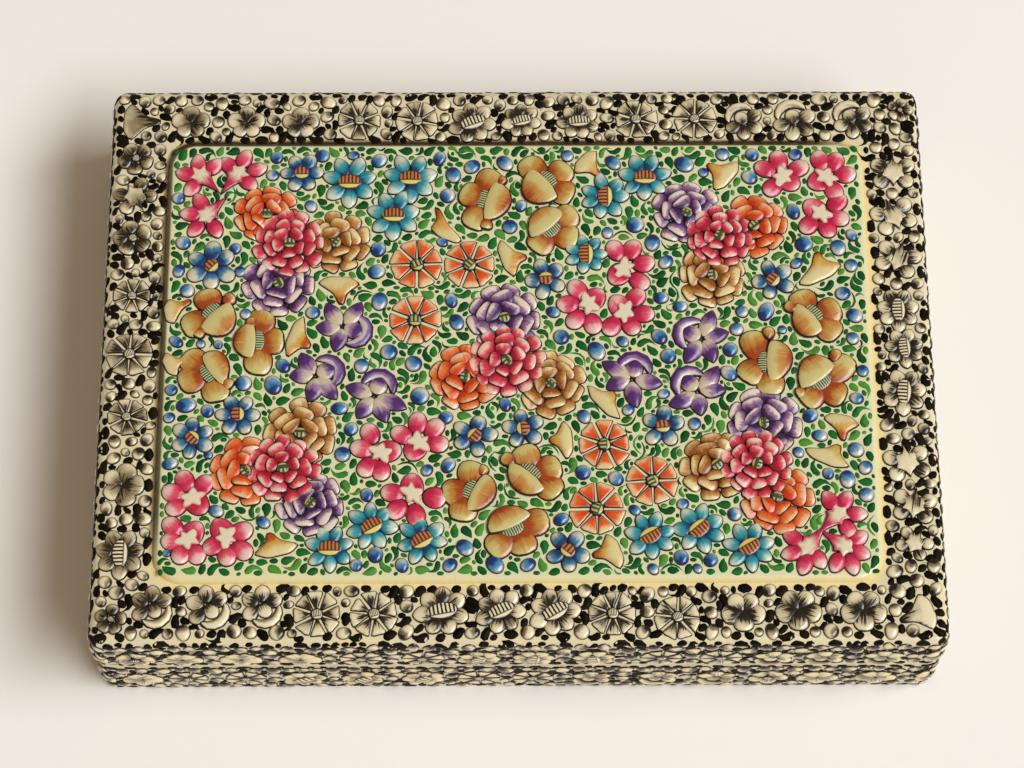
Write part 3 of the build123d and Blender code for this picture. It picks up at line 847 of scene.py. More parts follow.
class BareGround:
    """How much bare ground is left round each cell of a fine grid over a face, in millimetres."""

    step = 0.2
    furthest = 2.6

    def __init__(self, low, high, closed=False, lift=0.0):
        self.lift = (lift, lift)
        self.low = np.array(low, float)
        self.count = np.ceil((np.array(high) - self.low) / self.step).astype(int)
        self.taken = np.zeros(self.count, dtype=bool)
        self.closed = closed
        self.clear = None

    def index(self, places):
        """Cells of some places, wrapped round the box where the face is closed."""
        cells = np.floor((places - self.low) / self.step).astype(int)
        across, up = cells[..., 0], cells[..., 1]
        across = across % self.count[0] if self.closed else np.clip(across, 0, self.count[0] - 1)
        return across, np.clip(up, 0, self.count[1] - 1)

    def window(self, low, high):
        """Cells between two corners, with their places."""
        first = np.floor((low - self.low) / self.step).astype(int)
        last = np.ceil((high - self.low) / self.step).astype(int)
        if not self.closed:
            first[0], last[0] = max(first[0], 0), min(last[0], self.count[0])
        first[1], last[1] = max(first[1], 0), min(last[1], self.count[1])
        across, up = np.mgrid[first[0]:last[0], first[1]:last[1]]
        places = self.low + (np.stack([across, up], axis=-1) + 0.5) * self.step
        return across % self.count[0], up, places

    def block(self, outline):
        """Marks the inside of an outline as taken."""
        across, up, places = self.window(outline.min(0), outline.max(0))
        if not across.size:
            return
        start, end = outline, np.roll(outline, -1, axis=0)
        x, y = places[..., 0][..., None], places[..., 1][..., None]
        spans = (start[:, 1] > y) != (end[:, 1] > y)
        rise = np.where(end[:, 1] == start[:, 1], 1e-9, end[:, 1] - start[:, 1])
        crossing = start[:, 0] + (y - start[:, 1]) / rise * (end[:, 0] - start[:, 0])
        inside = (spans & (x < crossing)).sum(-1) % 2 == 1
        self.taken[across[inside], up[inside]] = True

    def measure(self):
        """Works out the clearance of every cell by growing what is taken."""
        grown = self.taken.copy()
        grown[:, 0] = grown[:, -1] = True
        if not self.closed:
            grown[0] = grown[-1] = True
        self.clear = np.where(grown, 0.0, self.furthest)
        for ring in range(1, int(self.furthest / self.step)):
            wider = grown | np.roll(grown, 1, 0) | np.roll(grown, -1, 0)
            if ring % 2:
                wider |= np.roll(grown, 1, 1) | np.roll(grown, -1, 1)
            else:
                wider |= np.roll(wider, 1, 1) | np.roll(wider, -1, 1)
            self.clear[wider & ~grown] = ring * self.step
            grown = wider

    def stud(self, relief, radii, height, inset):
        """Sets small berries where the most ground is bare, clear of the face's edges."""
        rim = int(inset / self.step)
        inner = np.zeros_like(self.taken)
        inner[0 if self.closed else rim : None if self.closed else -rim, rim:-rim] = True
        for radius in radii:
            need = radius + BEAD_GAP
            spots = np.argwhere(inner & (self.clear >= need))
            relief.random.shuffle(spots)
            for spot in spots:
                if self.clear[tuple(spot)] >= need:
                    place = self.low + (spot + 0.5) * self.step
                    berry(relief, *place, radius, height, grid=BEAD_FAN)
                    self.cover(place[None], np.array([radius]))

    def scatter(self, relief, kinds, thickness):
        """Lays strokes in the bare ground, each turned the way that it fits best."""
        draw = relief.random
        turns = np.arange(STROKE_TURNS) * 2 * math.pi / STROKE_TURNS
        for count, length, width, bend, neck, blunt, gap in kinds:
            need = width / 2 + gap
            spots = np.argwhere(self.clear >= need)
            draw.shuffle(spots)
            half = leaf_width(ease(STROKE_GRID.rows), neck, blunt) * width / 2
            halves = [ahead(turn, length / 2) for turn in turns]
            lines = np.stack([bow(-reach, reach, bend, len(half)) for reach in halves])
            laid = 0
            for first in range(0, len(spots), BATCH):
                if laid >= count:
                    break
                some = spots[first : first + BATCH]
                some = some[self.clear[some[:, 0], some[:, 1]] >= need]
                places = self.low + (some + draw.uniform(0.3, 0.7, some.shape)) * self.step
                likely = self.room(lines[None] + places[:, None, None], half + gap).max(1) >= 0
                for place in places[likely]:
                    room = self.room(lines + place, half + gap)
                    if laid >= count or room.max() < 0:
                        continue
                    fitting = np.flatnonzero(room >= max(0.0, room.max() - AS_GOOD))
                    line = lines[draw.choice(fitting)] + place
                    relief.ribbon(
                        line, width * draw.uniform(0.92, 1.06), thickness * draw.uniform(0.8, 1.2), neck=neck,
                        blunt=blunt, grid=STROKE_GRID, flat=True, finish=int(draw.random() < 0.55),
                        lift=self.lift, ragged=min(0.15, 0.06 * width),
                    )
                    self.cover(line, half)
                    laid += 1

    def room(self, lines, needed):
        """The least room to spare along each line, or none where it leaves the face."""
        across, up = self.index(lines)
        inside = (lines >= self.low) & (lines <= self.low + self.count * self.step)
        inside[..., 0] |= self.closed
        return np.where(inside.all(-1), self.clear[across, up] - needed, -1.0).min(-1)

    def cover(self, line, half):
        """Takes a stroke's ground away."""
        margin = half.max() + self.furthest
        across, up, places = self.window(line.min(0) - margin, line.max(0) + margin)
        gaps = np.sqrt(((places[:, :, None, :] - line[None, None]) ** 2).sum(-1)) - half
        room = np.maximum(gaps.min(-1), 0)
        self.clear[across, up] = np.minimum(self.clear[across, up], room)


# ---------------------------------------------------------------- finishes


class Socket:
    """One output of a material's node tree. Expressions on numbers add Math nodes."""

    def __init__(self, finish, socket):
        self.finish, self.socket = finish, socket

    def __add__(self, other):
        return self.finish.maths("ADD", self, other)

    __radd__ = __add__

    def __mul__(self, other):
        return self.finish.maths("MULTIPLY", self, other)

    __rmul__ = __mul__

    def __sub__(self, other):
        return self.finish.maths("SUBTRACT", self, other)

    def __rsub__(self, other):
        return self.finish.maths("SUBTRACT", other, self)

    def __truediv__(self, other):
        return self.finish.maths("DIVIDE", self, other)

    def __rtruediv__(self, other):
        return self.finish.maths("DIVIDE", other, self)

    def __pow__(self, other):
        return self.finish.maths("POWER", self, other)


class Finish:
    """A material whose colours and roughness are worked out in its node tree."""

    def __init__(self, name, roughness=0.3, coat=0.5, coat_roughness=0.06):
        self.material = bpy.data.materials.new(name)
        self.material.use_nodes = True
        self.tree = self.material.node_tree
        self.shader = self.tree.nodes["Principled BSDF"]
        self.set("Roughness", roughness)
        self.set("Coat Weight", coat)
        self.set("Coat Roughness", coat_roughness)

    def node(self, kind, settings=None, inputs=None, output=0):
        """Any node: its settings first, then the values or links of its sockets, by index or name."""
        node = self.tree.nodes.new(kind)
        for setting, value in (settings or {}).items():
            setattr(node, setting, value)
        for key, value in (inputs or {}).items():
            self.feed(node.inputs[key], value)
        return Socket(self, node.outputs[output])

    def feed(self, socket, value):
        """Links a socket to another, or gives it a plain value."""
        if isinstance(value, Socket):
            self.tree.links.new(value.socket, socket)
        else:
            socket.default_value = value

    def set(self, name, value):
        """Feeds a socket of the shader."""
        self.feed(self.shader.inputs[name], value)

    def done(self, colour, roughness=None):
        """Feeds the shader's colour and roughness and hands over the material."""
        self.set("Base Color", colour)
        if roughness is not None:
            self.set("Roughness", roughness)
        return self.material

    def maths(self, operation, first, second=0.0):
        return self.node("ShaderNodeMath", {"operation": operation}, {0: first, 1: second})

    def sine(self, value):
        return self.maths("SINE", value)

    def size_of(self, value):
        return self.maths("ABSOLUTE", value)

    def most(self, first, second):
        return self.maths("MAXIMUM", first, second)

    def step(self, value, low, high):
        """Zero below low, one above high, and a soft step between. Falls where high is below low."""
        if high < low:
            return 1 - self.step(value, high, low)
        return self.node(
            "ShaderNodeMapRange", {"interpolation_type": "SMOOTHSTEP"}, {0: value, 1: low, 2: high}
        )

    def blend(self, share, first, second):
        """Two colours mixed."""
        first, second = (c if isinstance(c, Socket) else (*c, 1.0) for c in (first, second))
        return self.node("ShaderNodeMix", {"data_type": "RGBA"}, {0: share, 6: first, 7: second}, 2)

    def vector(self, x, y, z):
        return self.node("ShaderNodeCombineXYZ", {}, {0: x, 1: y, 2: z})

    def noise(self, scale, detail=2.0, roughness=0.5, place=None):
        """Noise over the piece, or over another place where one is given."""
        values = {"Vector": place or self.place, "Scale": scale, "Detail": detail, "Roughness": roughness}
        return self.node("ShaderNodeTexNoise", {}, values)

    def split(self, vector):
        """The three parts of a vector."""
        parts = self.node("ShaderNodeSeparateXYZ", {}, {0: vector}).socket.node.outputs
        return tuple(Socket(self, part) for part in parts)

    @functools.cached_property
    def coat(self):
        """The patch's own coordinates: along, across, and distance from the outline in millimetres."""
        return self.split(self.node("ShaderNodeAttribute", {"attribute_name": "coat"}, output=1))

    @functools.cached_property
    def tone(self):
        """A number that differs from patch to patch."""
        return self.node("ShaderNodeAttribute", {"attribute_name": "tone"}, output=2)

    @functools.cached_property
    def place(self):
        """Place on the piece, in millimetres."""
        place = self.node("ShaderNodeTexCoord", output=3)
        return self.node("ShaderNodeVectorMath", {"operation": "SCALE"}, {0: place, "Scale": 1 / MM})

    def streaks(self, across, along, tone, detail, roughness=0.5):
        """Noise drawn out along a patch, which differs from patch to patch."""
        place = self.vector(self.coat[1] * across, self.coat[0] * along, self.tone * tone)
        return self.noise(1.0, detail, roughness, place)

    def outline(self, width=None, base=None):
        """Share of ink from the hand-painted outline, which swells and thins as the brush did.

        base, where it is given, is the way along a petal: the ink gathers at the start of it."""
        width = sizes().outline / MM if width is None else width
        reach = width * (0.5 + self.noise(0.9, 1.0))
        if base is not None:
            reach = reach + self.step(base, 0.34, 0.0) * width
        return self.step(self.coat[2] - reach, 0.07, -0.04)

    def bump(self, height, depth):
        """Small relief on the surface, with its depth in millimetres."""
        values = {"Strength": 1.0, "Distance": depth * MM, "Height": height}
        self.set("Normal", self.node("ShaderNodeBump", {}, values))


def petal_paint(name, deep, middle, pale, wash, rim=None, sideways=False, line=None):
    """Petals painted wet in wet: deep at the base, pale at the tip, with fine brush streaks.

    rim is a colour and its share along the edge. Sideways, the wash runs from one side to the other."""
    finish = Finish(name, roughness=0.32, coat=0.25)
    along, across, edge = finish.coat
    brush = finish.streaks(4.5, 1.3, 43.0, 3.0, 0.6)
    cloud = finish.noise(0.3)
    depth = 0.5 + 0.5 * across if sideways else along - 0.14 * across * across
    depth = depth + (brush - 0.5) * 0.34 + (cloud - 0.5) * 0.5 + (finish.tone - 0.5) * 0.22
    start, half, end = wash
    colour = finish.blend(finish.step(depth, start, half), deep, middle)
    colour = finish.blend(finish.step(depth, half, end), colour, pale)
    if rim:
        colour = finish.blend(finish.step(edge, 0.55, 0.2) * rim[1], colour, rim[0])
    hair = finish.streaks(14.0, 0.8, 91.0, 1.0)
    colour = finish.blend(finish.step(hair, 0.54, 0.7) * finish.step(depth, end, half) * 0.4, colour, deep)
    shadow = tuple(0.3 * part for part in deep)
    gather = 0.22 + 0.5 * finish.step(along, 0.62, 0.2)
    colour = finish.blend(finish.step(edge, 0.5, 0.12) * gather, colour, shadow)
    colour = finish.blend(finish.outline(line, base=along), colour, colours().ink)
    return finish.done(colour, 0.24 + 0.16 * brush)


def trumpet_paint(name, pale, deep, reach):
    """A trumpet that ends in a star: deep at the stem and along its sides, ivory at its mouth."""
    finish = Finish(name, coat=0.35)
    along, _, edge = finish.coat
    depth = along + (finish.streaks(5.0, 1.2, 43.0, 3.0) - 0.5) * 0.4
    side = finish.step(edge, 1.1, 0.4) * finish.step(depth, reach + 0.2, reach - 0.1)
    share = finish.most(finish.step(depth, reach, reach * 0.55), side * 0.9)
    colour = finish.blend(finish.step(edge, 0.45, 0.1) * 0.3, pale, deep)
    colour = finish.blend(share, colour, deep)
    line = finish.outline(0.17) * finish.step(along, reach + 0.3, reach)
    return finish.done(finish.blend(line, colour, colours().ink))


def mouth_paint(name, pale, deep):
    """The star mouth of a full blossom, flushed at its rim."""
    finish = Finish(name, coat=0.25)
    flush = finish.step(finish.coat[2] - (finish.noise(0.6) - 0.5) * 0.4, 0.42, 0.08) * 0.6
    return finish.done(finish.blend(flush, pale, deep))


def eye_paint(name, line, ground, stripes, crescent=None, facing=0.0, crossed=0.0):
    """The eye of a flower: fine lines over a pale ground, crossed or not, with a crescent on one side.

    facing is how far the crescent reaches over the eye."""
    finish = Finish(name, coat=0.35)
    along, across, edge = finish.coat
    shake = (finish.noise(1.6, 1.0) - 0.5) * 1.6
    lines = finish.step(finish.sine(along * (stripes * 2 * math.pi) + shake + finish.tone * 6.0), -0.3, 0.4)
    if crossed:
        rows = finish.step(finish.sine(across * (crossed * math.pi) + shake + finish.tone * 3.0), 0.1, 0.7)
        lines = finish.most(lines, rows)
    colour = finish.blend(lines, ground, line)
    ink = colours().ink
    if crescent is not None:
        side = finish.step(across + shake * 0.06, facing - 0.44, facing - 0.56)
        colour = finish.blend(side, colour, crescent)
        parting = finish.step(finish.size_of(across - (facing - 0.5)), 0.12, 0.05)
        colour = finish.blend(parting * 0.8, colour, ink)
    colour = finish.blend(finish.step(edge, 0.5, 0.1) * 0.5, colour, ink)
    return finish.done(finish.blend(finish.outline(0.26), colour, ink))


def berry_paint(name, patch, half, ground, cover, soft):
    """A berry: ivory, with a patch of colour that is palest at its edge."""
    finish = Finish(name, roughness=0.26, coat=0.4)
    along, across, edge = finish.coat
    cloud = finish.noise(0.9, 3.0, 0.6)
    shade = along + 0.25 * across * across + (cloud - 0.5) * 0.7 * soft + (finish.tone - 0.5) * 0.3
    colour = finish.blend(finish.step(shade, cover + 0.5 * soft, cover), ground, half)
    colour = finish.blend(finish.step(shade, cover, cover - 0.36 * soft), colour, patch)
    colour = finish.blend(finish.step(edge, 0.6, 0.12) * 0.5, colour, patch)
    return finish.done(finish.blend(finish.outline(0.17), colour, colours().ink))


def hatched_paint(name, pale, dark, brown_share, hatch):
    """Ivory petals of the border, shaded at the base with black strokes and soft brown."""
    finish = Finish(name, coat=0.35)
    along, _, edge = finish.coat
    depth = along + (finish.noise(0.45) - 0.5) * 0.6 + (finish.tone - 0.5) * 0.4
    hairs = finish.streaks(8.0, 0.8, 57.0, 2.0, 0.6)
    shaded = depth
    # Painted shade: on the border the brown wash reaches further on the left and the back, which face away
    # from the lamp.
    if "border" in name:
        x, y, _ = finish.split(finish.place)
        shaded = depth - finish.most(finish.step(x, -60.0, -72.0) * 0.26, finish.step(y, 42.0, 52.0) * 0.12)
    brown = shade((0.7, 0.5, 0.2), 0.74, dark)
    colour = finish.blend(finish.step(shaded, 0.85, 0.15) * brown_share, pale, brown)
    colour = finish.blend(finish.step(hairs - depth * 0.62, 0.18, 0.28) * hatch, colour, dark)
    colour = finish.blend(finish.step(edge, 0.6, 0.15) * 0.35, colour, brown)
    return finish.done(finish.blend(finish.outline(base=along), colour, colours().border_ink))


def ground_paint(name):
    """Ivory lacquer with soft clouds and yellower patches, brush marks and fine pits.

    Round the raised panel's foot the varnish has yellowed, and a painted shade darkens the crease at the back
    and the left, the sides that face away from the lamp."""
    finish = Finish(name, coat=0.4, coat_roughness=0.1)
    base, yellowed = colours().ivory, colours().yellowed
    if "panel" in name:
        base = (0.71, 0.70, 0.425)
    cloud = finish.noise(0.09, 4.0, 0.6)
    stain = finish.noise(0.32, 3.0, 0.6)
    speck = finish.noise(2.4)
    colour = finish.blend(finish.step(cloud, 0.42, 0.72) * 0.4, base, yellowed)
    colour = finish.blend(finish.step(stain, 0.56, 0.8) * 0.35, colour, yellowed)
    if "tray" not in name:
        low, high = (corner.tolist() for corner in corners_mm("lid_panel"))
        corner = sizes().panel_corner / MM
        x, y, _ = finish.split(finish.place)
        ends = (high[0] - corner, high[1] - corner)
        over = [finish.most(finish.size_of(part) - end, 0.0) for part, end in zip((x, y), ends)]
        away = (over[0] * over[0] + over[1] * over[1]) ** 0.5 - corner
        band = finish.step(away, -1.1, -0.5) * finish.step(away, 1.7, 0.5)
        colour = finish.blend(band * (0.6 + 0.6 * stain), colour, yellowed)
        # Painted shade: the crease round the panel's foot is darkened only at the back and the left, which
        # face away from the lamp.
        back = finish.step(y, high[1] - 7.0, high[1] - 2.0) * finish.step(x, 76.0, 64.0)
        left = finish.step(x, low[0] + 7.0, low[0] + 2.0) * finish.step(y, low[1], -35.0)
        crease_shade = finish.step(away, -1.5, -0.9) * finish.step(away + (stain - 0.5) * 0.6, 1.3, 0.2)
        colour = finish.blend(crease_shade * finish.most(back, left * 0.85), colour, (0.036, 0.020, 0.006))
    colour = finish.blend(finish.step(speck, 0.66, 0.74) * 0.25, colour, (0.25, 0.18, 0.09))
    finish.bump(0.7 * stain + 0.3 * speck, 0.08)
    return finish.done(colour, 0.24 + 0.16 * stain)


def black_paint(name):
    """Black lacquer with brush marks and a slight bloom."""
    finish = Finish(name, coat_roughness=0.12)
    grain = finish.noise(1.2, 3.0, 0.6)
    bloom = finish.step(finish.noise(0.06, 4.0, 0.6), 0.45, 0.75) * 0.5
    finish.bump(grain, 0.05)
    return finish.done(finish.blend(bloom, colours().black, (0.045, 0.032, 0.022)), 0.3 + 0.2 * grain)


def stroke_paint(name, dark, light):
    """One loaded brush stroke, thicker and darker where the paint pooled."""
    finish = Finish(name, roughness=0.5, coat=0.0)
    finish.set("Specular IOR Level", 0.06)
    pooled = finish.tone + (finish.noise(1.1) - 0.5) * 0.8 + (finish.coat[0] - 0.5) * 0.3
    return finish.done(finish.blend(finish.step(pooled, 0.25, 0.8), dark, light))


def shade(colour, share, other):
    """A colour let down with another, such as the ivory of a petal's tip."""
    return tuple(a * (1 - share) + b * share for a, b in zip(colour, other))


# ---------------------------------------------------------------- bodies


CORNER_STEPS = 8  # faces round an upright corner


def rounded_loop(half, radius, level):
    """Points of a rounded rectangle at one level."""
    turns = (np.arange(4)[:, None] + np.arange(CORNER_STEPS + 1) / CORNER_STEPS).ravel() * math.pi / 2
    signs = np.repeat(((1, 1), (-1, 1), (-1, -1), (1, -1)), CORNER_STEPS + 1, axis=0)
    plan = signs * (half - radius) + radius * np.stack([np.cos(turns), np.sin(turns)], axis=-1)
    return np.column_stack([plan, np.full(len(plan), level)])


def make_body(name, body, node, profile, finishes):
    """A closed solid in the place of a CAD node, from a profile of (inset, level, radius, finish) loops.

    Both ends are capped. The finish of a row is that of the band up to the next loop."""
    low, high = corners_mm(node)
    half = (high - low)[:2] / 2
    loops = [rounded_loop(half - inset, max(radius, 0.05), level) for inset, level, radius, _ in profile]
    count = len(loops[0])
    last = (len(loops) - 1) * count
    side = np.arange(count)
    after = (side + 1) % count
    band = np.stack([side, side + count, after + count, after], axis=-1).ravel()
    bands = [band + first for first in range(0, last, count)]
    marks = [row[3] for row in profile]
    mesh = make_mesh(
        name, np.concatenate(loops) * MM, np.concatenate([*bands, side, last + side[::-1]]),
        [4] * last + [count] * 2, [*np.repeat(marks[:-1], count), marks[0], marks[-1]], finishes,
    )
    for face in mesh.polygons[-2:]:
        face.use_smooth = False
    seat(mesh, body, "ivory_lacquer", node)


IVORY, BLACK = 0, 1
LIP = 0.3  # radius of the rounded lips where the lid meets the tray, in mm


def bend_rows(level, radius, start, end, corner, steps):
    """Ivory profile rows of a quarter bend of the outer wall, from one angle to another in degrees."""
    rows = []
    for angle in np.radians(start + (end - start) * np.arange(steps + 1) / steps):
        inset = radius - radius * math.cos(angle)
        rows.append((inset, level + radius * math.sin(angle), corner - inset, IVORY))
    return rows


def lid_profile():
    """The lid: top, rounded upper edge and walls, hollow from below."""
    low, high = levels("lid_shell")
    box = sizes()
    corner, edge = box.corner / MM, box.top_edge / MM
    inner, wall, roof = box.inner_corner / MM, box.lid_wall / MM, high - box.floor / MM
    return [
        (edge + 1.2, high, max(corner - edge - 1.2, 0.4), IVORY),
        *bend_rows(high - edge, edge, 90, 0, corner, 7),
        (0.0, high - edge - 0.6, corner, IVORY),
        (0.0, low + LIP + 0.6, corner, IVORY),
        *bend_rows(low + LIP, LIP, 0, -90, corner, 3),
        (LIP + 0.5, low, corner - LIP - 0.5, BLACK),
        (wall - 0.5, low, inner + 0.5, BLACK),
        (wall - 0.2, low, inner + 0.2, BLACK),
        (wall, low + 0.2, inner, BLACK),
        (wall, roof - 0.5, inner, BLACK),
        (wall + 0.15, roof - 0.15, inner, BLACK),
        (wall + 0.5, roof, inner - 0.5, BLACK),
    ]


def tray_profile():
    """The tray: floor, walls and rounded lower edge."""
    low, high = levels("base_tray")
    box = sizes()
    corner, edge = box.corner / MM, box.bottom_edge / MM
    inner, wall, floor = box.inner_corner / MM, box.wall / MM, low + box.floor / MM
    return [
        (wall + 0.5, floor, inner - 0.5, BLACK),
        (wall + 0.15, floor + 0.15, inner, BLACK),
        (wall, floor + 0.5, inner, BLACK),
        (wall, high - 0.2, inner, BLACK),
        (wall - 0.2, high, inner + 0.2, BLACK),
        (LIP + 0.5, high, corner - LIP - 0.5, BLACK),
        *bend_rows(high - LIP, LIP, 90, 0, corner, 3),
        (0.0, high - LIP - 0.6, corner, IVORY),
        (0.0, low + edge + 0.6, corner, IVORY),
        *bend_rows(low + edge, edge, 0, -90, corner, 5),
        (edge + 0.8, low, corner - edge - 0.8, BLACK),
        (edge + 2.0, low, max(corner - edge - 2.0, 0.3), BLACK),
    ]


# Inset and share of the height at every loop of the raised board's soft bevel.
PANEL_BEVEL = (
    (2.4, 1.0), (1.75, 1.0), (1.45, 0.985), (1.15, 0.93), (0.85, 0.82), (0.55, 0.64), (0.3, 0.42),
    (0.12, 0.2), (0.0, 0.06), (0.0, 0.0), (1.0, 0.0),
)


def panel_profile():
    """The raised board of the lid, with a soft bevel."""
    low, high = levels("lid_panel")
    corner = sizes().panel_corner / MM
    return [
        (inset, low + (high - low) * share, corner - min(inset, 2.2), IVORY) for inset, share in PANEL_BEVEL
    ]


# ---------------------------------------------------------------- where the painter put the flowers

# Places are millimetres from the middle of the lid, x to the right and y to the back. Angles are in degrees.

HEARTS = (
    (-49.3, 26.0, 8.0, 11, 8),
    (44.0, 27.6, 7.5, 11, 7),
    (-2.3, -1.5, 8.4, 12, 7),
    (-49.5, -25.9, 7.9, 11, 7),
    (50.3, -25.2, 8.0, 12, 8),
)
SIDE_ROSETTES = {
    "orange": (
        (-54.4, 33.0, 7.2), (51.6, 30.0, 7.6), (-11.2, -5.3, 7.8), (-57.3, -26.4, 7.8), (54.2, -32.6, 8.0),
    ),
    "ochre": (
        (-39.2, 26.2, 7.4), (42.2, 18.2, 7.6), (7.0, -6.8, 7.6), (-46.0, -18.0, 7.8), (41.8, -25.4, 7.8),
    ),
    "purple": (
        (-51.4, 16.6, 7.8), (37.0, 33.2, 7.6), (-2.8, 8.4, 8.2), (-43.6, -33.7, 7.4), (52.0, -16.0, 8.2),
    ),
}
# Mouth, turn of the trumpet, whether it is a full one, and the middles of the petals.
STAR_BLOSSOMS = (
    ((-69.0, 42.5), -45, False, ((-69.5, 45.5), (-66.3, 45), (-72.4, 43.2), (-71.2, 39.5))),
    ((-61.0, 42.8), -125, False, ((-63, 45.2), (-59.3, 46.6), (-56.6, 44.2), (-58.3, 40.7))),
    ((-67.3, 33.0), 45, False, ((-69, 36.2), (-71.2, 33.2), (-69.9, 29.6), (-65.6, 29.4))),
    ((58.2, 42.0), -40, True, ((57.5, 46), (54.3, 43.7), (55.8, 39.3), (61.8, 44.2))),
    ((67.8, 41.8), -150, True, ((66.5, 46), (70, 45.5), (72.2, 42.3), (69.7, 38.5))),
    ((66.3, 33.0), 140, True, ((69.8, 36), (70.2, 32), (67.5, 29.4), (63.6, 30))),
    ((-68.3, -32.3), -50, True, ((-70, -28.4), (-66, -29.3), (-72.4, -31), (-71.5, -34.6))),
    ((-69.0, -41.5), 55, True, ((-72.2, -38.5), (-72.2, -41.7), (-70.3, -44.7), (-66.8, -44.6))),
    ((-61.0, -41.0), 120, True, ((-57.6, -40, 5.0, 4.6), (-63.7, -42.8), (-60.5, -45.1), (-57.3, -43.9))),
    ((66.8, -36.5), -135, False, ((65, -33.2), (68.6, -33.2), (71, -36.5), (69, -39.9))),
    ((60.3, -43.5), 50, False, ((57, -41.3), (56.5, -44.8), (59, -47.6), (62.2, -46.6))),
    ((67.7, -43.3), 145, False, ((70.9, -41.5), (71.2, -44.9), (69, -47.8), (65.8, -47.1))),
    ((23.0, 20.0), -127, True, ((21.3, 24.5), (25, 24.6), (27.6, 21), (26.6, 16.9))),
    ((15.3, 11.7), 45, True, ((12.6, 15), (10.8, 11.3), (12.6, 7.8), (16.4, 6.9))),
    ((23.0, 9.8), 125, True, ((20.3, 6.2), (24.6, 6.6), (27.2, 9.7), (25.8, 13.1))),
    ((-29.0, -22.3), 10, True, ((-31.3, -17.9), (-33.2, -21.5), (-31.8, -25.8), (-28.5, -26.4))),
    ((-21.0, -20.0), -115, True, ((-24.5, -17.9), (-21, -15.5), (-17.8, -16.6), (-16.9, -20.4))),
    ((-22.3, -31.5), 92, True, ((-17.4, -32.5, 5.0, 5.0), (-21.3, -36.4), (-25.6, -35.1), (-26.6, -31.2))),
)
# Seed head, its tilt, and the petals, the big one first: middle, then length and width where they differ.
POPPIES = (
    ((-6.8, 36.3), 75, ((-3.6, 36.0, 5.2, 8.0), (-10.0, 37.8, 5.0, 6.4), (-5.5, 41.2), (-3.4, 41.0, 2.6, 2.6),
        (-9.0, 31.8), (-6.8, 30.6, 3.0, 3.2))),
    ((6.8, 41.0), -50, ((4.0, 38.4, 5.8, 7.6), (3.5, 44.6), (9.5, 43.2), (10.3, 38.6))),
    ((7.3, 29.3), 40, ((5.7, 31.9, 5.0, 7.8), (11.0, 32.2), (11.0, 27.9), (5.0, 26.2))),
    ((-65.5, 9.7), 45, ((-63.2, 7.0), (-66.5, 12.8), (-62.0, 12.7, 3.4, 3.2), (-69.6, 7.2),
        (-68.0, 5.2, 3.2, 3.0))),
    ((-55.8, 3.3), 90, ((-58.5, 3.0, 4.8, 7.0), (-52.4, 3.3), (-54.8, 7.9), (-57.0, 7.2, 3.0, 2.8),
        (-55.8, -2.1))),
    ((-65.7, -4.3), -55, ((-64.0, -1.8, 4.8, 7.0), (-69.1, -1.2), (-69.7, -5.7), (-64.3, -8.4),
        (-61.8, -6.7, 3.0, 3.2))),
    ((63.5, 9.0), -50, ((61.8, 6.5, 5.2, 7.0), (61.7, 12.4), (67.0, 10.1), (67.0, 5.6),
        (59.0, 11.0, 3.2, 3.2))),
    ((53.0, -2.0), 88, ((56.4, -1.2, 5.0, 8.2), (50.8, 2.9), (53.8, 4.6, 3.2, 3.0), (49.9, -4.6),
        (53.5, -7.1))),
    ((64.5, -6.5), 35, ((63.0, -3.0, 5.2, 7.6), (69.1, -2.4), (67.6, -0.6, 3.4, 3.0), (62.0, -9.5),
        (67.6, -8.8), (60.2, -9.0, 2.8, 3.0))),
    ((-9.8, -31.0), 65, ((-7.0, -31.6, 4.8, 7.6), (-9.5, -26.9), (-7.4, -26.6, 2.8, 2.8), (-13.4, -31.5),
        (-11.3, -35.4))),
    ((2.5, -27.0), -40, ((1.1, -29.1, 5.2, 7.8), (1.5, -23.2), (-2.0, -24.0, 3.6, 3.6), (6.6, -25.9),
        (6.6, -30.4))),
    ((-1.3, -39.3), 25, ((-2.9, -36.9, 5.0, 8.0), (3.9, -37.9), (-4.6, -42.8), (0.5, -42.8))),
)
# The side that the hood bulges to, the heart petal, and the falls.
IRISES = (
    (-20, (-35.3, 5.7), ((-35, 10), (-39.5, 9.8), (-40.5, 6.5), (-38.3, 3.3))),
    (25, (-41, -4), ((-44.8, -1.8), (-45.9, -5), (-43.8, -8.1), (-40.2, -8.2))),
    (70, (-29.7, -7.5), ((-34.1, -8.2), (-32.5, -12.4), (-28.9, -13.1), (-26.1, -11.4))),
    (150, (37.5, 4.5), ((41, 7.6), (42.7, 4.3), (40.7, 0.4), (37.2, 0.1))),
    (80, (24.8, -3.7), ((20.3, -3.2), (21.4, -7.1), (25, -9.6), (28.2, -6.5))),
    (130, (36.7, -7), ((41.1, -4.9), (41.6, -8.6), (38.5, -11.5), (34.4, -10.5))),
)
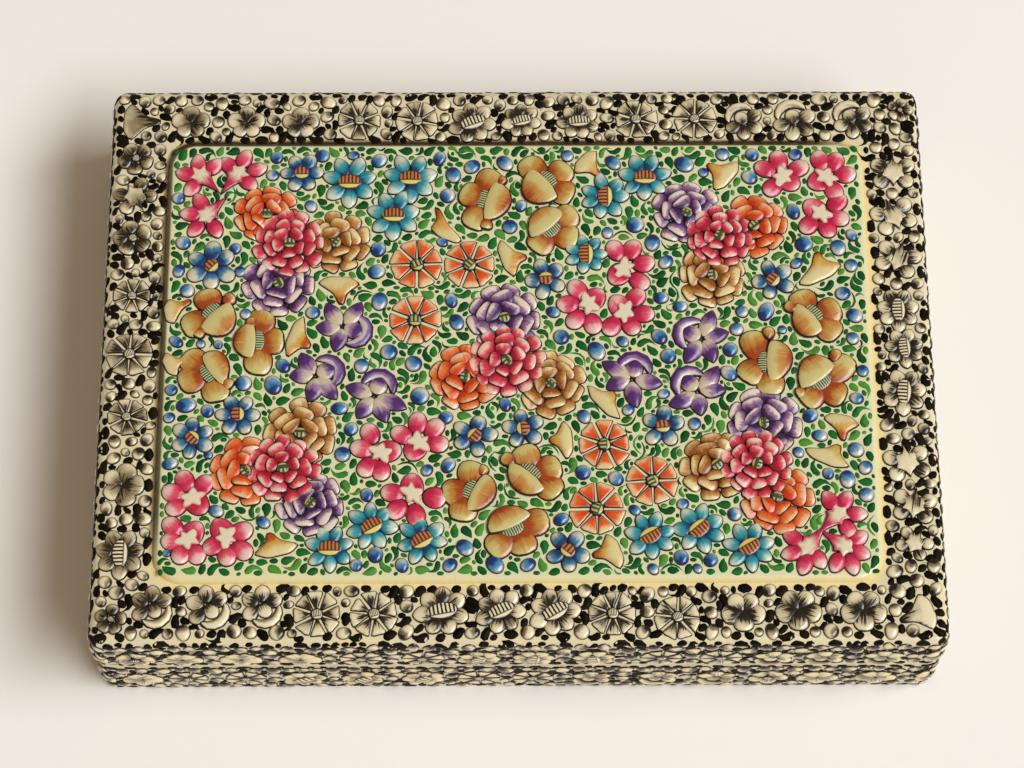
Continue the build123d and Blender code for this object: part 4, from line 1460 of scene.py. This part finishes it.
# Narrow tip and the two corners of the mouth.
TRUMPET_BUDS = (
    ((-17.4, 35.0), (-18.6, 29.4), (-12.0, 27.0)),
    ((2.4, 23.0), (-3.4, 26.8), (-0.6, 18.2)),
    ((18.4, 42.0), (12.8, 43.0), (17.6, 48.2)),
    ((41.6, 45.2), (48.6, 45.6), (43.2, 38.8)),
    ((-37.8, 11.4), (-42.8, 16.8), (-34.0, 16.6)),
    ((-69.8, 12.8), (-75.0, 13.0), (-73.6, 7.4)),
    ((-70.6, -0.8), (-75.0, 0.6), (-72.6, -4.8)),
    ((-44.0, 1.8), (-45.8, 8.8), (-49.2, -0.4)),
    ((64.9, 24.2), (60.8, 16.4), (70.2, 20.8)),
    ((68.6, -20.2), (64.8, -14.8), (72.2, -16.3)),
    ((68.0, -20.6), (60.6, -21.6), (69.6, -25.8)),
    ((-52.2, -39.8), (-54.9, -44.8), (-46.0, -42.6)),
    ((15.0, -45.4), (18.4, -40.6), (21.0, -48.2)),
    ((6.2, -19.6), (9.6, -15.3), (10.2, -23.9)),
    ((20.9, -8.6), (15.0, -7.2), (21.6, -14.7)),
)
# Place, radius, petals, and which way the pale edge of the eye faces.
TEAL_DAISIES = (
    (-36.5, 40.8, 6.4, 7, -90), (-23.2, 41.7, 6.2, 7, -90), (-26.8, 32.8, 6.2, 7, -90),
    (19.3, 37.2, 5.8, 7, 0), (28.0, 41.8, 6.0, 7, -90), (14.9, 23.4, 5.0, 7, 0),
    (-30.7, -38.7, 5.6, 7, -60), (-39.4, -43.6, 5.4, 7, -90), (-20.2, -41.8, 5.7, 7, -60),
    (27.5, -41.0, 5.6, 7, 120), (37.7, -39.5, 5.8, 7, 130), (48.0, -43.5, 5.6, 7, 120),
)
BLUE_DAISIES = (
    (-47.0, 43.0, 4.9, 6), (-66.0, 20.8, 5.8, 6), (-59.4, -13.6, 4.9, 6), (-68.8, -19.0, 4.8, 6),
    (6.2, 17.6, 4.9, 5), (-9.2, -18.6, 4.9, 5), (1.1, -17.0, 4.7, 5), (10.2, -44.2, 4.9, 5),
    (30.6, -16.6, 4.9, 5), (55.2, 17.2, 4.9, 5),
)
# Kinds of flower along each side of the border, and which way each faces. Sides are read from left to right
# and from front to back.
BORDER_ROWS = {
    "back": (
        ("bud", 0), ("pansy", 90), ("pansy", 90), ("pansy", 90), ("pinwheel", 0), ("pinwheel", 12),
        ("striped", 20), ("striped", 15), ("striped", 5), ("pinwheel", 5), ("pinwheel", 20),
        ("iris", 120), ("iris", 110), ("iris", 120), ("five", 0),
    ),
    "front": (
        ("five", 10), ("iris", -60), ("iris", -50), ("iris", -60), ("pinwheel", 5), ("pinwheel", 15),
        ("striped", 10), ("striped", 25), ("striped", 30), ("pinwheel", 0), ("pinwheel", 18),
        ("pansy", -90), ("pansy", -90), ("pansy", -90), ("bud", 200),
    ),
    "left": (
        ("striped", 90), ("pansy", 0), ("pinwheel", 8), ("pinwheel", 20), ("pinwheel", 0), ("five", 30),
        ("star", -60), ("five", 50),
    ),
    "right": (
        ("star", 60), ("star", 80), ("star", 100), ("striped", 85), ("striped", 95), ("striped", 90),
        ("star", 70), ("star", 110), ("star", 90),
    ),
}
# Kinds of flower along each long and short wall, and which way those that do not simply turn on face.
LONG_WALL_ROW = (
    "five", "pansy", "pansy", "pansy", "pinwheel", "pinwheel", "striped", "striped", "striped", "pinwheel",
    "pinwheel", "iris", "iris", "iris",
)
SHORT_WALL_ROW = (
    "star", "star", "striped", "pinwheel", "pinwheel", "iris", "pansy", "striped", "star", "five",
)
WALL_TURNS = {"pansy": -90, "iris": 240}


class PieceOperator:
    """What every operator of the box shares."""

    bl_options = {"REGISTER", "UNDO"}


class MakeBodies(PieceOperator, bpy.types.Operator):
    """Makes the tray, the lid and the raised panel"""

    bl_idname = "papier.make_bodies"
    bl_label = "Tray, lid and panel"

    def execute(self, context):
        for name, body, node, lacquer, profile in (
            ("lid_cover", "lid", "lid_shell", "lid_lacquer", lid_profile()),
            ("tray_body", "tray", "base_tray", "tray_lacquer", tray_profile()),
            ("lid_panel_board", "lid", "lid_panel", "panel_lacquer", panel_profile()),
        ):
            finishes = [ground_paint("ivory_" + lacquer)]
            if name != "lid_panel_board":
                finishes.append(black_paint("black_" + lacquer))
            make_body(name, body, node, profile, finishes)
        return {"FINISHED"}


class FinishCollar(PieceOperator, bpy.types.Operator):
    """Lacquers the four strips of the collar"""

    bl_idname = "papier.finish_collar"
    bl_label = "Collar"

    def execute(self, context):
        lacquer = black_paint("black_collar_lacquer")
        for side in ("front", "back", "left", "right"):
            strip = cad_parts["collar_" + side]
            strip.data.materials.clear()
            strip.data.materials.append(lacquer)
        return {"FINISHED"}


class MakeRosettes(PieceOperator, bpy.types.Operator):
    """Makes the double flowers: pink hearts, and orange, ochre and purple ones tucked under them"""

    bl_idname = "papier.make_rosettes"
    bl_label = "Rosettes"

    def execute(self, context):
        paints = colours()
        height = sizes().petal / MM
        eye = eye_paint(
            "rosette_eye", (0.04, 0.07, 0.025), (0.48, 0.45, 0.21), 3.5, (0.55, 0.42, 0.11), 0.15, crossed=1.5
        )
        for seed, (name, middle, pale, wash) in enumerate((
            ("orange", (0.76, 0.16, 0.025), (0.80, 0.52, 0.30), (0.36, 0.62, 0.92)),
            ("ochre", (0.50, 0.225, 0.050), (0.80, 0.63, 0.31), (0.32, 0.56, 0.86)),
            ("purple", (0.28, 0.13, 0.27), (0.77, 0.63, 0.51), (0.34, 0.58, 0.80)),
        )):
            petal = petal_paint(name + "_rosette_petals", getattr(paints, name), middle, pale, wash)
            relief = Relief("rosettes_" + name, panel_face(), [petal, eye], 11 + seed)
            relief.sinks = [(x, y, radius * 0.86) for x, y, radius, *_ in HEARTS]
            for number, (x, y, radius) in enumerate(SIDE_ROSETTES[name]):
                rosette(relief, x, y, radius, 0.7 * number + seed, 9, 6, 4, height)
            relief.build("lid", name + "_gesso", "relief_rosettes_" + name)
        petal = petal_paint(
            "pink_rosette_petals", paints.crimson, paints.pink, (0.82, 0.54, 0.41), (0.34, 0.6, 0.88)
        )
        relief = Relief("rosettes_pink", panel_face(), [petal, eye], 10)
        for number, (x, y, radius, outer, middle) in enumerate(HEARTS):
            rosette(relief, x, y, radius, 1.1 * number, outer, middle, 5, height, lift=0.1)
        relief.build("lid", "pink_gesso", "relief_rosettes_pink")
        return {"FINISHED"}


class MakeStarBlossoms(PieceOperator, bpy.types.Operator):
    """Makes the pink blossoms with a star mouth"""

    bl_idname = "papier.make_star_blossoms"
    bl_label = "Star blossoms"

    def execute(self, context):
        petal = petal_paint(
            "blossom_petals", (0.52, 0.010, 0.060), (0.69, 0.07, 0.12), (0.80, 0.51, 0.44), (0.26, 0.52, 0.84)
        )
        ivory, deep = shade(colours().ivory, 0.3, (0.8, 0.7, 0.55)), (0.54, 0.016, 0.068)
        slim = trumpet_paint("blossom_trumpet", ivory, deep, reach=0.66)
        full = mouth_paint("blossom_star", ivory, deep)
        front = petal_paint(
            "blossom_front", (0.50, 0.008, 0.050), (0.68, 0.06, 0.11), (0.78, 0.46, 0.41), (0.34, 0.62, 0.92)
        )
        relief = Relief("star_blossoms", panel_face(), [petal, slim, full, front], 21)
        relief.sinks = [(*blossom[0], 1.7) for blossom in STAR_BLOSSOMS if blossom[2]]
        for blossom in STAR_BLOSSOMS:
            star_blossom(relief, *blossom, sizes().petal / MM * 0.9)
        relief.build("lid", "pink_gesso", "relief_star_blossoms")
        return {"FINISHED"}


class MakePoppies(PieceOperator, bpy.types.Operator):
    """Makes the ochre poppies with a striped seed head"""

    bl_idname = "papier.make_poppies"
    bl_label = "Poppies"

    def execute(self, context):
        petal = petal_paint(
            "poppy_petals", (0.34, 0.050, 0.004), (0.50, 0.24, 0.042), (0.61, 0.51, 0.18), (0.30, 0.56, 0.88),
            line=0.3,
        )
        shell = petal_paint(
            "poppy_shell", (0.60, 0.50, 0.19), (0.52, 0.24, 0.045), (0.32, 0.045, 0.004), (0.28, 0.6, 0.92),
            line=0.3,
        )
        seed_head = eye_paint("poppy_seed_head", (0.015, 0.045, 0.02), (0.47, 0.49, 0.25), 10.0)
        relief = Relief("poppies", panel_face(), [petal, seed_head, shell], 31)
        for eye, tilt, petals in POPPIES:
            poppy(relief, eye, tilt, petals, sizes().petal / MM)
        relief.build("lid", "ochre_gesso", "relief_poppies")
        return {"FINISHED"}


class MakePinwheels(PieceOperator, bpy.types.Operator):
    """Makes the orange flowers of wedge petals"""

    bl_idname = "papier.make_pinwheels"
    bl_label = "Pinwheels"

    def execute(self, context):
        petal = petal_paint(
            "pinwheel_petals", (0.58, 0.040, 0.003), (0.74, 0.10, 0.008), (0.78, 0.54, 0.27),
            (0.16, 0.55, 0.90), rim=((0.80, 0.58, 0.35), 0.45), line=0.17,
        )
        hub = eye_paint(
            "pinwheel_hub", (0.03, 0.05, 0.015), (0.44, 0.42, 0.18), 3.5, (0.62, 0.52, 0.14), 0.15
        )
        relief = Relief("pinwheels", panel_face(), [petal, hub], 41)
        height = sizes().petal / MM * 0.54
        for number, (centre, radius) in enumerate(domes("relief_pinwheels")):
            pinwheel(relief, *centre[:2], radius * 1.06, 0.4 * number, height)
        relief.build("lid", "orange_gesso", "relief_pinwheels")
        return {"FINISHED"}


class MakeIrises(PieceOperator, bpy.types.Operator):
    """Makes the purple and ivory irises"""

    bl_idname = "papier.make_irises"
    bl_label = "Irises"

    def execute(self, context):
        deep = shade(colours().purple, 0.3, (0.14, 0.04, 0.26))
        fall = petal_paint("iris_falls", (0.60, 0.49, 0.345), (0.29, 0.15, 0.30), deep, (0.24, 0.42, 0.64))
        hood = petal_paint(
            "iris_hood", deep, (0.24, 0.12, 0.34), (0.64, 0.54, 0.46), (0.2, 0.45, 0.7), sideways=True
        )
        relief = Relief("irises", panel_face(), [fall, hood, hood], 51)
        for turn, heart, petals in IRISES:
            iris(relief, turn, heart, petals, sizes().petal / MM * 0.9)
        relief.build("lid", "purple_gesso", "relief_irises")
        return {"FINISHED"}


class MakeDaisies(PieceOperator, bpy.types.Operator):
    """Makes the teal and the blue daisies"""

    bl_idname = "papier.make_daisies"
    bl_label = "Daisies"

    def execute(self, context):
        paints = colours()
        height = sizes().petal / MM * 0.85
        petal = petal_paint(
            "teal_petals", paints.teal, (0.018, 0.29, 0.32), (0.58, 0.64, 0.50), (0.2, 0.44, 0.84)
        )
        eye = eye_paint(
            "teal_daisy_eye", (0.14, 0.010, 0.006), (0.46, 0.20, 0.06), 7.0, (0.74, 0.62, 0.15), 0.2
        )
        relief = Relief("daisies_teal", panel_face(), [petal, eye], 61)
        for x, y, radius, petals, facing in TEAL_DAISIES:
            turn = math.radians(facing)
            daisy(relief, x, y, radius, petals, (5.6, 3.7), turn + math.pi / 2, turn, 1.24, height, 0.6, 0.62)
        relief.build("lid", "teal_gesso", "relief_daisies_teal")
        petal = petal_paint(
            "blue_petals", paints.blue, (0.035, 0.18, 0.29), (0.60, 0.57, 0.42), (0.24, 0.46, 0.74)
        )
        eye = eye_paint(
            "blue_daisy_eye", (0.16, 0.012, 0.008), (0.46, 0.20, 0.08), 4.0, (0.70, 0.58, 0.16), 0.24
        )
        relief = Relief("daisies_blue", panel_face(), [petal, eye], 62)
        for number, (x, y, radius, petals) in enumerate(BLUE_DAISIES):
            fill = 1.18 if petals > 5 else 0.98
            turns = (0.8 * number, 0.5 * number)
            daisy(relief, x, y, radius, petals, (3.6, 3.3), *turns, fill, height, 0.42, 0.42)
        relief.build("lid", "blue_gesso", "relief_daisies_blue")
        return {"FINISHED"}


class MakeTrumpetBuds(PieceOperator, bpy.types.Operator):
    """Makes the ochre trumpet buds"""

    bl_idname = "papier.make_trumpet_buds"
    bl_label = "Trumpet buds"

    def execute(self, context):
        petal = petal_paint(
            "bud_petals", (0.44, 0.080, 0.005), (0.62, 0.34, 0.055), (0.70, 0.58, 0.27), (0.26, 0.46, 0.76)
        )
        relief = Relief("trumpet_buds", panel_face(), [petal], 71)
        for tip, first, second in TRUMPET_BUDS:
            trumpet_bud(relief, tip, first, second, sizes().petal / MM * 0.8)
        relief.build("lid", "ochre_gesso", "relief_trumpet_buds")
        return {"FINISHED"}


PANEL_BERRY, BORDER_BERRY = 0.95, 0.8  # heights of the lid's berries, in mm


class MakeBerries(PieceOperator, bpy.types.Operator):
    """Makes the blue berries of the panel"""

    bl_idname = "papier.make_berries"
    bl_label = "Panel berries"

    def execute(self, context):
        berries = berry_paint(
            "blue_berries", (0.004, 0.030, 0.15), (0.05, 0.22, 0.42), (0.62, 0.60, 0.52), cover=0.52, soft=0.8
        )
        relief = Relief("panel_berries", panel_face(), [berries], 81)
        for centre, radius in domes("relief_panel_berries"):
            berry(relief, *centre[:2], radius, PANEL_BERRY)
        relief.build("lid", "blue_gesso", "relief_panel_berries")
        return {"FINISHED"}


def border_finishes(name):
    """Petal, eye and berry finishes of the black and ivory work."""
    dark = (0.010, 0.006, 0.003)
    pale, brown_share, hatch, stripes = (0.80, 0.70, 0.44), 0.98, 1.0, 8.0
    # Partly painted light: the walls' petals are painted paler than the border's to brighten the upright
    # walls, which the lamp lights less; their lighter brown and hatch are the walls' own paint.
    if "wall" in name:
        pale, brown_share, hatch, stripes = (0.90, 0.76, 0.41), 0.25, 0.7, 5.0
    return (
        hatched_paint(name + "_petals", pale, dark, brown_share, hatch),
        eye_paint(name + "_eyes", dark, pale, stripes, pale, 0.1),
        berry_paint(name + "_berries", dark, (0.22, 0.17, 0.09), pale, cover=0.44, soft=0.5),
        petal_paint(name + "_hoods", pale, (0.40, 0.32, 0.18), dark, (0.5, 0.75, 1.05), sideways=True),
    )


class MakeBorder(PieceOperator, bpy.types.Operator):
    """Makes the black and ivory flowers and berries of the lid's border"""

    bl_idname = "papier.make_border"
    bl_label = "Border flowers and berries"

    def execute(self, context):
        petal, eye, berries, hood = border_finishes("border")
        low, high = corners_mm("lid_panel")
        sides = {side: [] for side in BORDER_ROWS}
        for (x, y, _), radius in domes("relief_border_flowers"):
            if low[1] <= y <= high[1]:
                sides["right" if x > 0 else "left"].append((y, x, y, radius))
            else:
                sides["back" if y > 0 else "front"].append((x, x, y, radius))
        relief = Relief("border_flowers", border_face(), [petal, eye, hood], 91)
        for side, row in BORDER_ROWS.items():
            if len(sides[side]) != len(row):
                raise RuntimeError(f"the {side} border has {len(sides[side])} domes and {len(row)} flowers")
            for (_, *place), (kind, turn) in zip(sorted(sides[side]), row):
                BORDER_KINDS[kind](relief, *place, math.radians(turn))
        relief.build("lid", "ivory_gesso", "relief_border_flowers")
        relief = Relief("border_berries", border_face(), [berries], 92)
        for centre, radius in domes("relief_border_berries"):
            berry(relief, *centre[:2], radius, BORDER_BERRY)
        relief.build("lid", "ivory_gesso", "relief_border_berries")
        return {"FINISHED"}


def wall_places(node, face):
    """Distance round the box, height and radius of every dome on the walls, side by side."""
    placed = []
    half_x, half_y = face.half
    for (x, y, z), radius in domes(node):
        side = int(np.argmax((-y - half_y, x - half_x, y - half_y, -x - half_x)))
        along = (x, y, -x, -y)[side]
        up = z - face.top + face.top_edge - face.top_arc
        placed.append((side, along, face.middle(side) + along, up, radius))
    return sorted(placed)


class MakeWalls(PieceOperator, bpy.types.Operator):
    """Makes the flowers and berries round the walls of the lid and the tray"""

    bl_idname = "papier.make_walls"
    bl_label = "Wall flowers and berries"

    def execute(self, context):
        height = sizes().wall_berry / MM
        for part, seed, first in (("lid", 101, 0), ("tray", 111, 3)):
            face = wall_face(part)
            petal, eye, berries, hood = border_finishes(part + "_wall")
            relief = Relief(part + "_wall_flowers", face, [petal, eye, hood], seed)
            flowers = wall_places(f"relief_{part}_side_flowers", face)
            for side in range(4):
                row = [place for place in flowers if place[0] == side]
                kinds = SHORT_WALL_ROW if side % 2 else LONG_WALL_ROW
                for number, (_, _, across, up, radius) in enumerate(row):
                    kind = kinds[(number + first) % len(kinds)]
                    turn = math.radians(WALL_TURNS.get(kind, 12 * number))
                    BORDER_KINDS[kind](relief, across, up, radius * 0.9, turn)
                corner = face.middle(side) + face.straights[side] / 2 + face.arc / 2
                five_petals(relief, corner, up, min(corner - across - radius - 0.3, 4.2), 0.3 * side)
            relief.build(part, "ivory_gesso", f"relief_{part}_side_flowers")
            relief = Relief(part + "_wall_berries", face, [berries], seed + 1)
            for _, _, across, up, radius in wall_places(f"relief_{part}_side_berries", face):
                berry(relief, across, up, radius, height)
            relief.build(part, "ivory_gesso", f"relief_{part}_side_berries")
        return {"FINISHED"}


# Number at most, length, width, bow, narrowing at the start and end, and gap, all lengths in millimetres.
LEAF_STROKES = (
    (20, 4.8, 0.55, 0.34, 0.6, 0.8, 0.0),
    (60, 4.2, 1.6, 0.36, 0.35, 1.4, -0.22),
    (120, 3.2, 1.95, 0.1, 0.45, 0.9, -0.06),
    (80, 3.4, 1.3, 0.34, 0.4, 1.2, -0.08),
    (300, 2.5, 1.65, 0.08, 0.5, 0.7, 0.0),
    (90, 2.6, 1.05, 0.36, 0.4, 1.2, -0.02),
    (360, 1.9, 1.3, 0.0, 0.5, 0.6, 0.04),
    (220, 1.5, 1.0, 0.0, 0.5, 0.5, 0.08),
    (40, 2.0, 0.55, 0.36, 0.5, 1.2, 0.06),
    (240, 1.0, 0.8, 0.0, 0.5, 0.5, 0.08),
)
INK_STROKES = (
    (90, 4.4, 1.9, 0.42, 0.35, 1.8, -0.5),
    (60, 3.0, 2.1, 0.1, 0.5, 0.6, -0.24),
    (320, 3.6, 1.6, 0.44, 0.35, 1.8, -0.36),
    (200, 2.2, 1.7, 0.06, 0.5, 0.6, -0.24),
    (520, 2.8, 1.3, 0.5, 0.35, 1.8, -0.3),
    (620, 1.7, 1.25, 0.0, 0.5, 0.6, -0.14),
    (300, 2.4, 0.6, 0.45, 0.5, 1.2, 0.0),
    (300, 1.05, 0.85, 0.0, 0.5, 0.5, 0.16),
)
WALL_STROKES = 1.7  # how many times the border's strokes a band of walls takes
STROKE_LIFT = 0.06  # how far the ink strokes stand clear of the ground, in mm
PANEL_INSET = 1.15  # how far the leaves keep inside the panel's foot, in mm
PANEL_MARGIN = 0.3  # how far the border's strokes keep off it, in mm


class MakeStrokes(PieceOperator, bpy.types.Operator):
    """Paints the leaves and ink strokes between the flowers"""

    bl_idname = "papier.make_strokes"
    bl_label = "Leaves and strokes"

    def execute(self, context):
        paints = colours()
        thickness = sizes().stroke / MM
        dark = stroke_paint("dark_leaves", paints.leaf_dark, shade(paints.leaf_dark, 0.5, (0.02, 0.16, 0.03)))
        light = stroke_paint("light_leaves", (0.014, 0.14, 0.026), paints.leaf_light)
        low, high = (corner[:2] for corner in corners_mm("lid_panel"))
        ground = BareGround(low + PANEL_INSET, high - PANEL_INSET)
        self.fill(ground, Relief("panel_leaves", panel_face(), [dark, light], 201), LEAF_STROKES, thickness)
        ink = stroke_paint("border_strokes", paints.border_ink, (0.012, 0.008, 0.004))
        edge = sizes().top_edge / MM - 1.2
        outer_low, outer_high = (corner[:2] for corner in corners_mm("lid_shell"))
        ground = BareGround(outer_low + edge, outer_high - edge, lift=STROKE_LIFT)
        (left, front), (right, back) = low - PANEL_MARGIN, high + PANEL_MARGIN
        ground.block(np.array([(left, front), (right, front), (right, back), (left, back)]))
        relief = Relief("border_strokes", border_face(), [ink, ink], 202)
        self.fill(ground, relief, INK_STROKES, thickness)
        for part, seed, clear, bare in (("lid", 203, 1.3, 1.3), ("tray", 204, 0.5, 0.0)):
            face = wall_face(part)
            low, high = (-face.round / 4, -face.height + clear), (face.round * 3 / 4, -bare)
            ground = BareGround(low, high, closed=True, lift=STROKE_LIFT)
            relief = Relief(part + "_wall_strokes", face, [ink, ink], seed)
            self.fill(ground, relief, INK_STROKES, thickness, part)
        return {"FINISHED"}

    def fill(self, ground, relief, kinds, thickness, body="lid"):
        """Paints one face between its flowers, after small beads where the face has them."""
        place = relief.face.name
        if place not in made_outlines:
            raise RuntimeError(f"make the flowers of the {place} before its strokes")
        for outline in made_outlines[place]:
            ground.block(outline)
        ground.measure()
        if place != "panel":
            beads = Relief(place.replace(" ", "_") + "_beads", relief.face, [border_finishes("bead")[2]], 301)
            height, inset = (0.5, 2.0) if ground.closed else (0.75, 1.6)
            ground.stud(beads, (1.5, 1.25, 1.05), height, inset)
            beads.build(body, "ivory_gesso")
        if ground.closed:
            kinds = [(int(count * WALL_STROKES), *shape) for count, *shape in kinds]
        ground.scatter(relief, kinds, thickness)
        relief.build(body, "ivory_lacquer" if place == "panel" else "black_lacquer")


# ---------------------------------------------------------------- floor, light and camera


FLOOR_REACH = 3.0  # from the middle to an edge of the floor, in metres
# Name, place in metres, size in metres, power in watts and colour of every lamp.
LAMPS = (
    ("key", (2.63, -1.17, 3.69), (4.7, 1.9), 240.0, (0.90, 0.94, 1.0)),
    ("fill", (0.2, -1.7, 1.0), (1.8, 1.2), 0.9, (1.0, 0.87, 0.72)),
)
WORLD_STRENGTH = 0.268
SENSOR, LENS = 36.0, 104.23  # in mm
CAMERA_TURNS = (-0.016771, -0.38179, 0.020883)  # about its line of sight, its width and the box's height
LID_TOP_FROM_CAMERA = (0.0011853, 0.0058361, -0.6344700)  # middle of the lid's top in the camera's view, in m


class MakeStage(PieceOperator, bpy.types.Operator):
    """Makes the pale floor, the lamps and the camera"""

    bl_idname = "papier.make_stage"
    bl_label = "Stage"

    def execute(self, context):
        scene = context.scene
        floor = bpy.data.meshes.new("floor")
        corners = [(x * FLOOR_REACH, y * FLOOR_REACH, 0) for x, y in ((-1, -1), (1, -1), (1, 1), (-1, 1))]
        floor.from_pydata(corners, [], [(0, 1, 2, 3)])
        floor.update()
        paper = Finish("pale_floor", roughness=0.8, coat=0.0)
        floor.materials.append(paper.done((0.93, 0.88, 0.815, 1.0)))
        piece = bpy.data.objects.new("floor", floor)
        scene.collection.objects.link(piece)
        for lamp in LAMPS:
            self.lamp(scene, *lamp)
        world = bpy.data.worlds.new("studio")
        world.use_nodes = True
        background = world.node_tree.nodes["Background"]
        background.inputs["Color"].default_value = (1.0, 0.794, 0.574, 1.0)
        background.inputs["Strength"].default_value = WORLD_STRENGTH
        scene.world = world
        self.camera(scene)
        scene.view_settings.view_transform = "Standard"
        return {"FINISHED"}

    def lamp(self, scene, name, place, size, power, colour):
        """A soft lamp that faces the box."""
        data = bpy.data.lights.new(name, "AREA")
        data.shape = "ELLIPSE"
        data.size, data.size_y = size
        data.energy, data.color = power, colour
        lamp = bpy.data.objects.new(name, data)
        scene.collection.objects.link(lamp)
        lamp.location = place
        lamp.rotation_euler = Vector(place).to_track_quat("Z", "Y").to_euler()

    def camera(self, scene):
        """The camera looks down on the lid from the front, from a little to the left."""
        data = bpy.data.cameras.new("camera")
        data.sensor_width, data.lens = SENSOR, LENS
        camera = bpy.data.objects.new("camera", data)
        scene.collection.objects.link(camera)
        turned = Matrix.Identity(3)
        for angle, axis in zip(CAMERA_TURNS, "ZXZ"):
            turned @= Matrix.Rotation(angle, 3, axis)
        turned.transpose()
        location = Vector((0.0, 0.0, levels("lid_shell")[1] * MM)) - turned @ Vector(LID_TOP_FROM_CAMERA)
        camera.matrix_world = Matrix.Translation(location) @ turned.to_4x4()
        scene.camera = camera


class BoxPanel(bpy.types.Panel):
    """Lists the steps that build the box."""

    bl_idname = "VIEW3D_PT_papier_mache_box"
    bl_label = "Papier mache box"
    bl_space_type = "VIEW_3D"
    bl_region_type = "UI"
    bl_category = "Papier mache"

    def draw(self, context):
        layout = self.layout
        for step in STEPS:
            layout.operator(step.bl_idname)
        for group in (context.scene.papier_sizes, context.scene.papier_colours):
            box = layout.box()
            for name in group.__annotations__:
                box.prop(group, name)


STEPS = (
    MakeBodies, FinishCollar, MakeRosettes, MakeStarBlossoms, MakePoppies, MakePinwheels, MakeIrises,
    MakeDaisies, MakeTrumpetBuds, MakeBerries, MakeBorder, MakeWalls, MakeStrokes, MakeStage,
)
CLASSES = (BoxSizes, BoxColours, *STEPS, BoxPanel)


def register():
    for cls in CLASSES:
        bpy.utils.register_class(cls)
    bpy.types.Scene.papier_sizes = bpy.props.PointerProperty(type=BoxSizes)
    bpy.types.Scene.papier_colours = bpy.props.PointerProperty(type=BoxColours)


def unregister():
    del bpy.types.Scene.papier_colours
    del bpy.types.Scene.papier_sizes
    for cls in reversed(CLASSES):
        bpy.utils.unregister_class(cls)


def main():
    """Builds the box step by step."""
    register()
    for step in STEPS:
        group, name = step.bl_idname.split(".")
        getattr(getattr(bpy.ops, group), name)()
    bpy.context.view_layer.update()


if __name__ == "__main__":
    main()
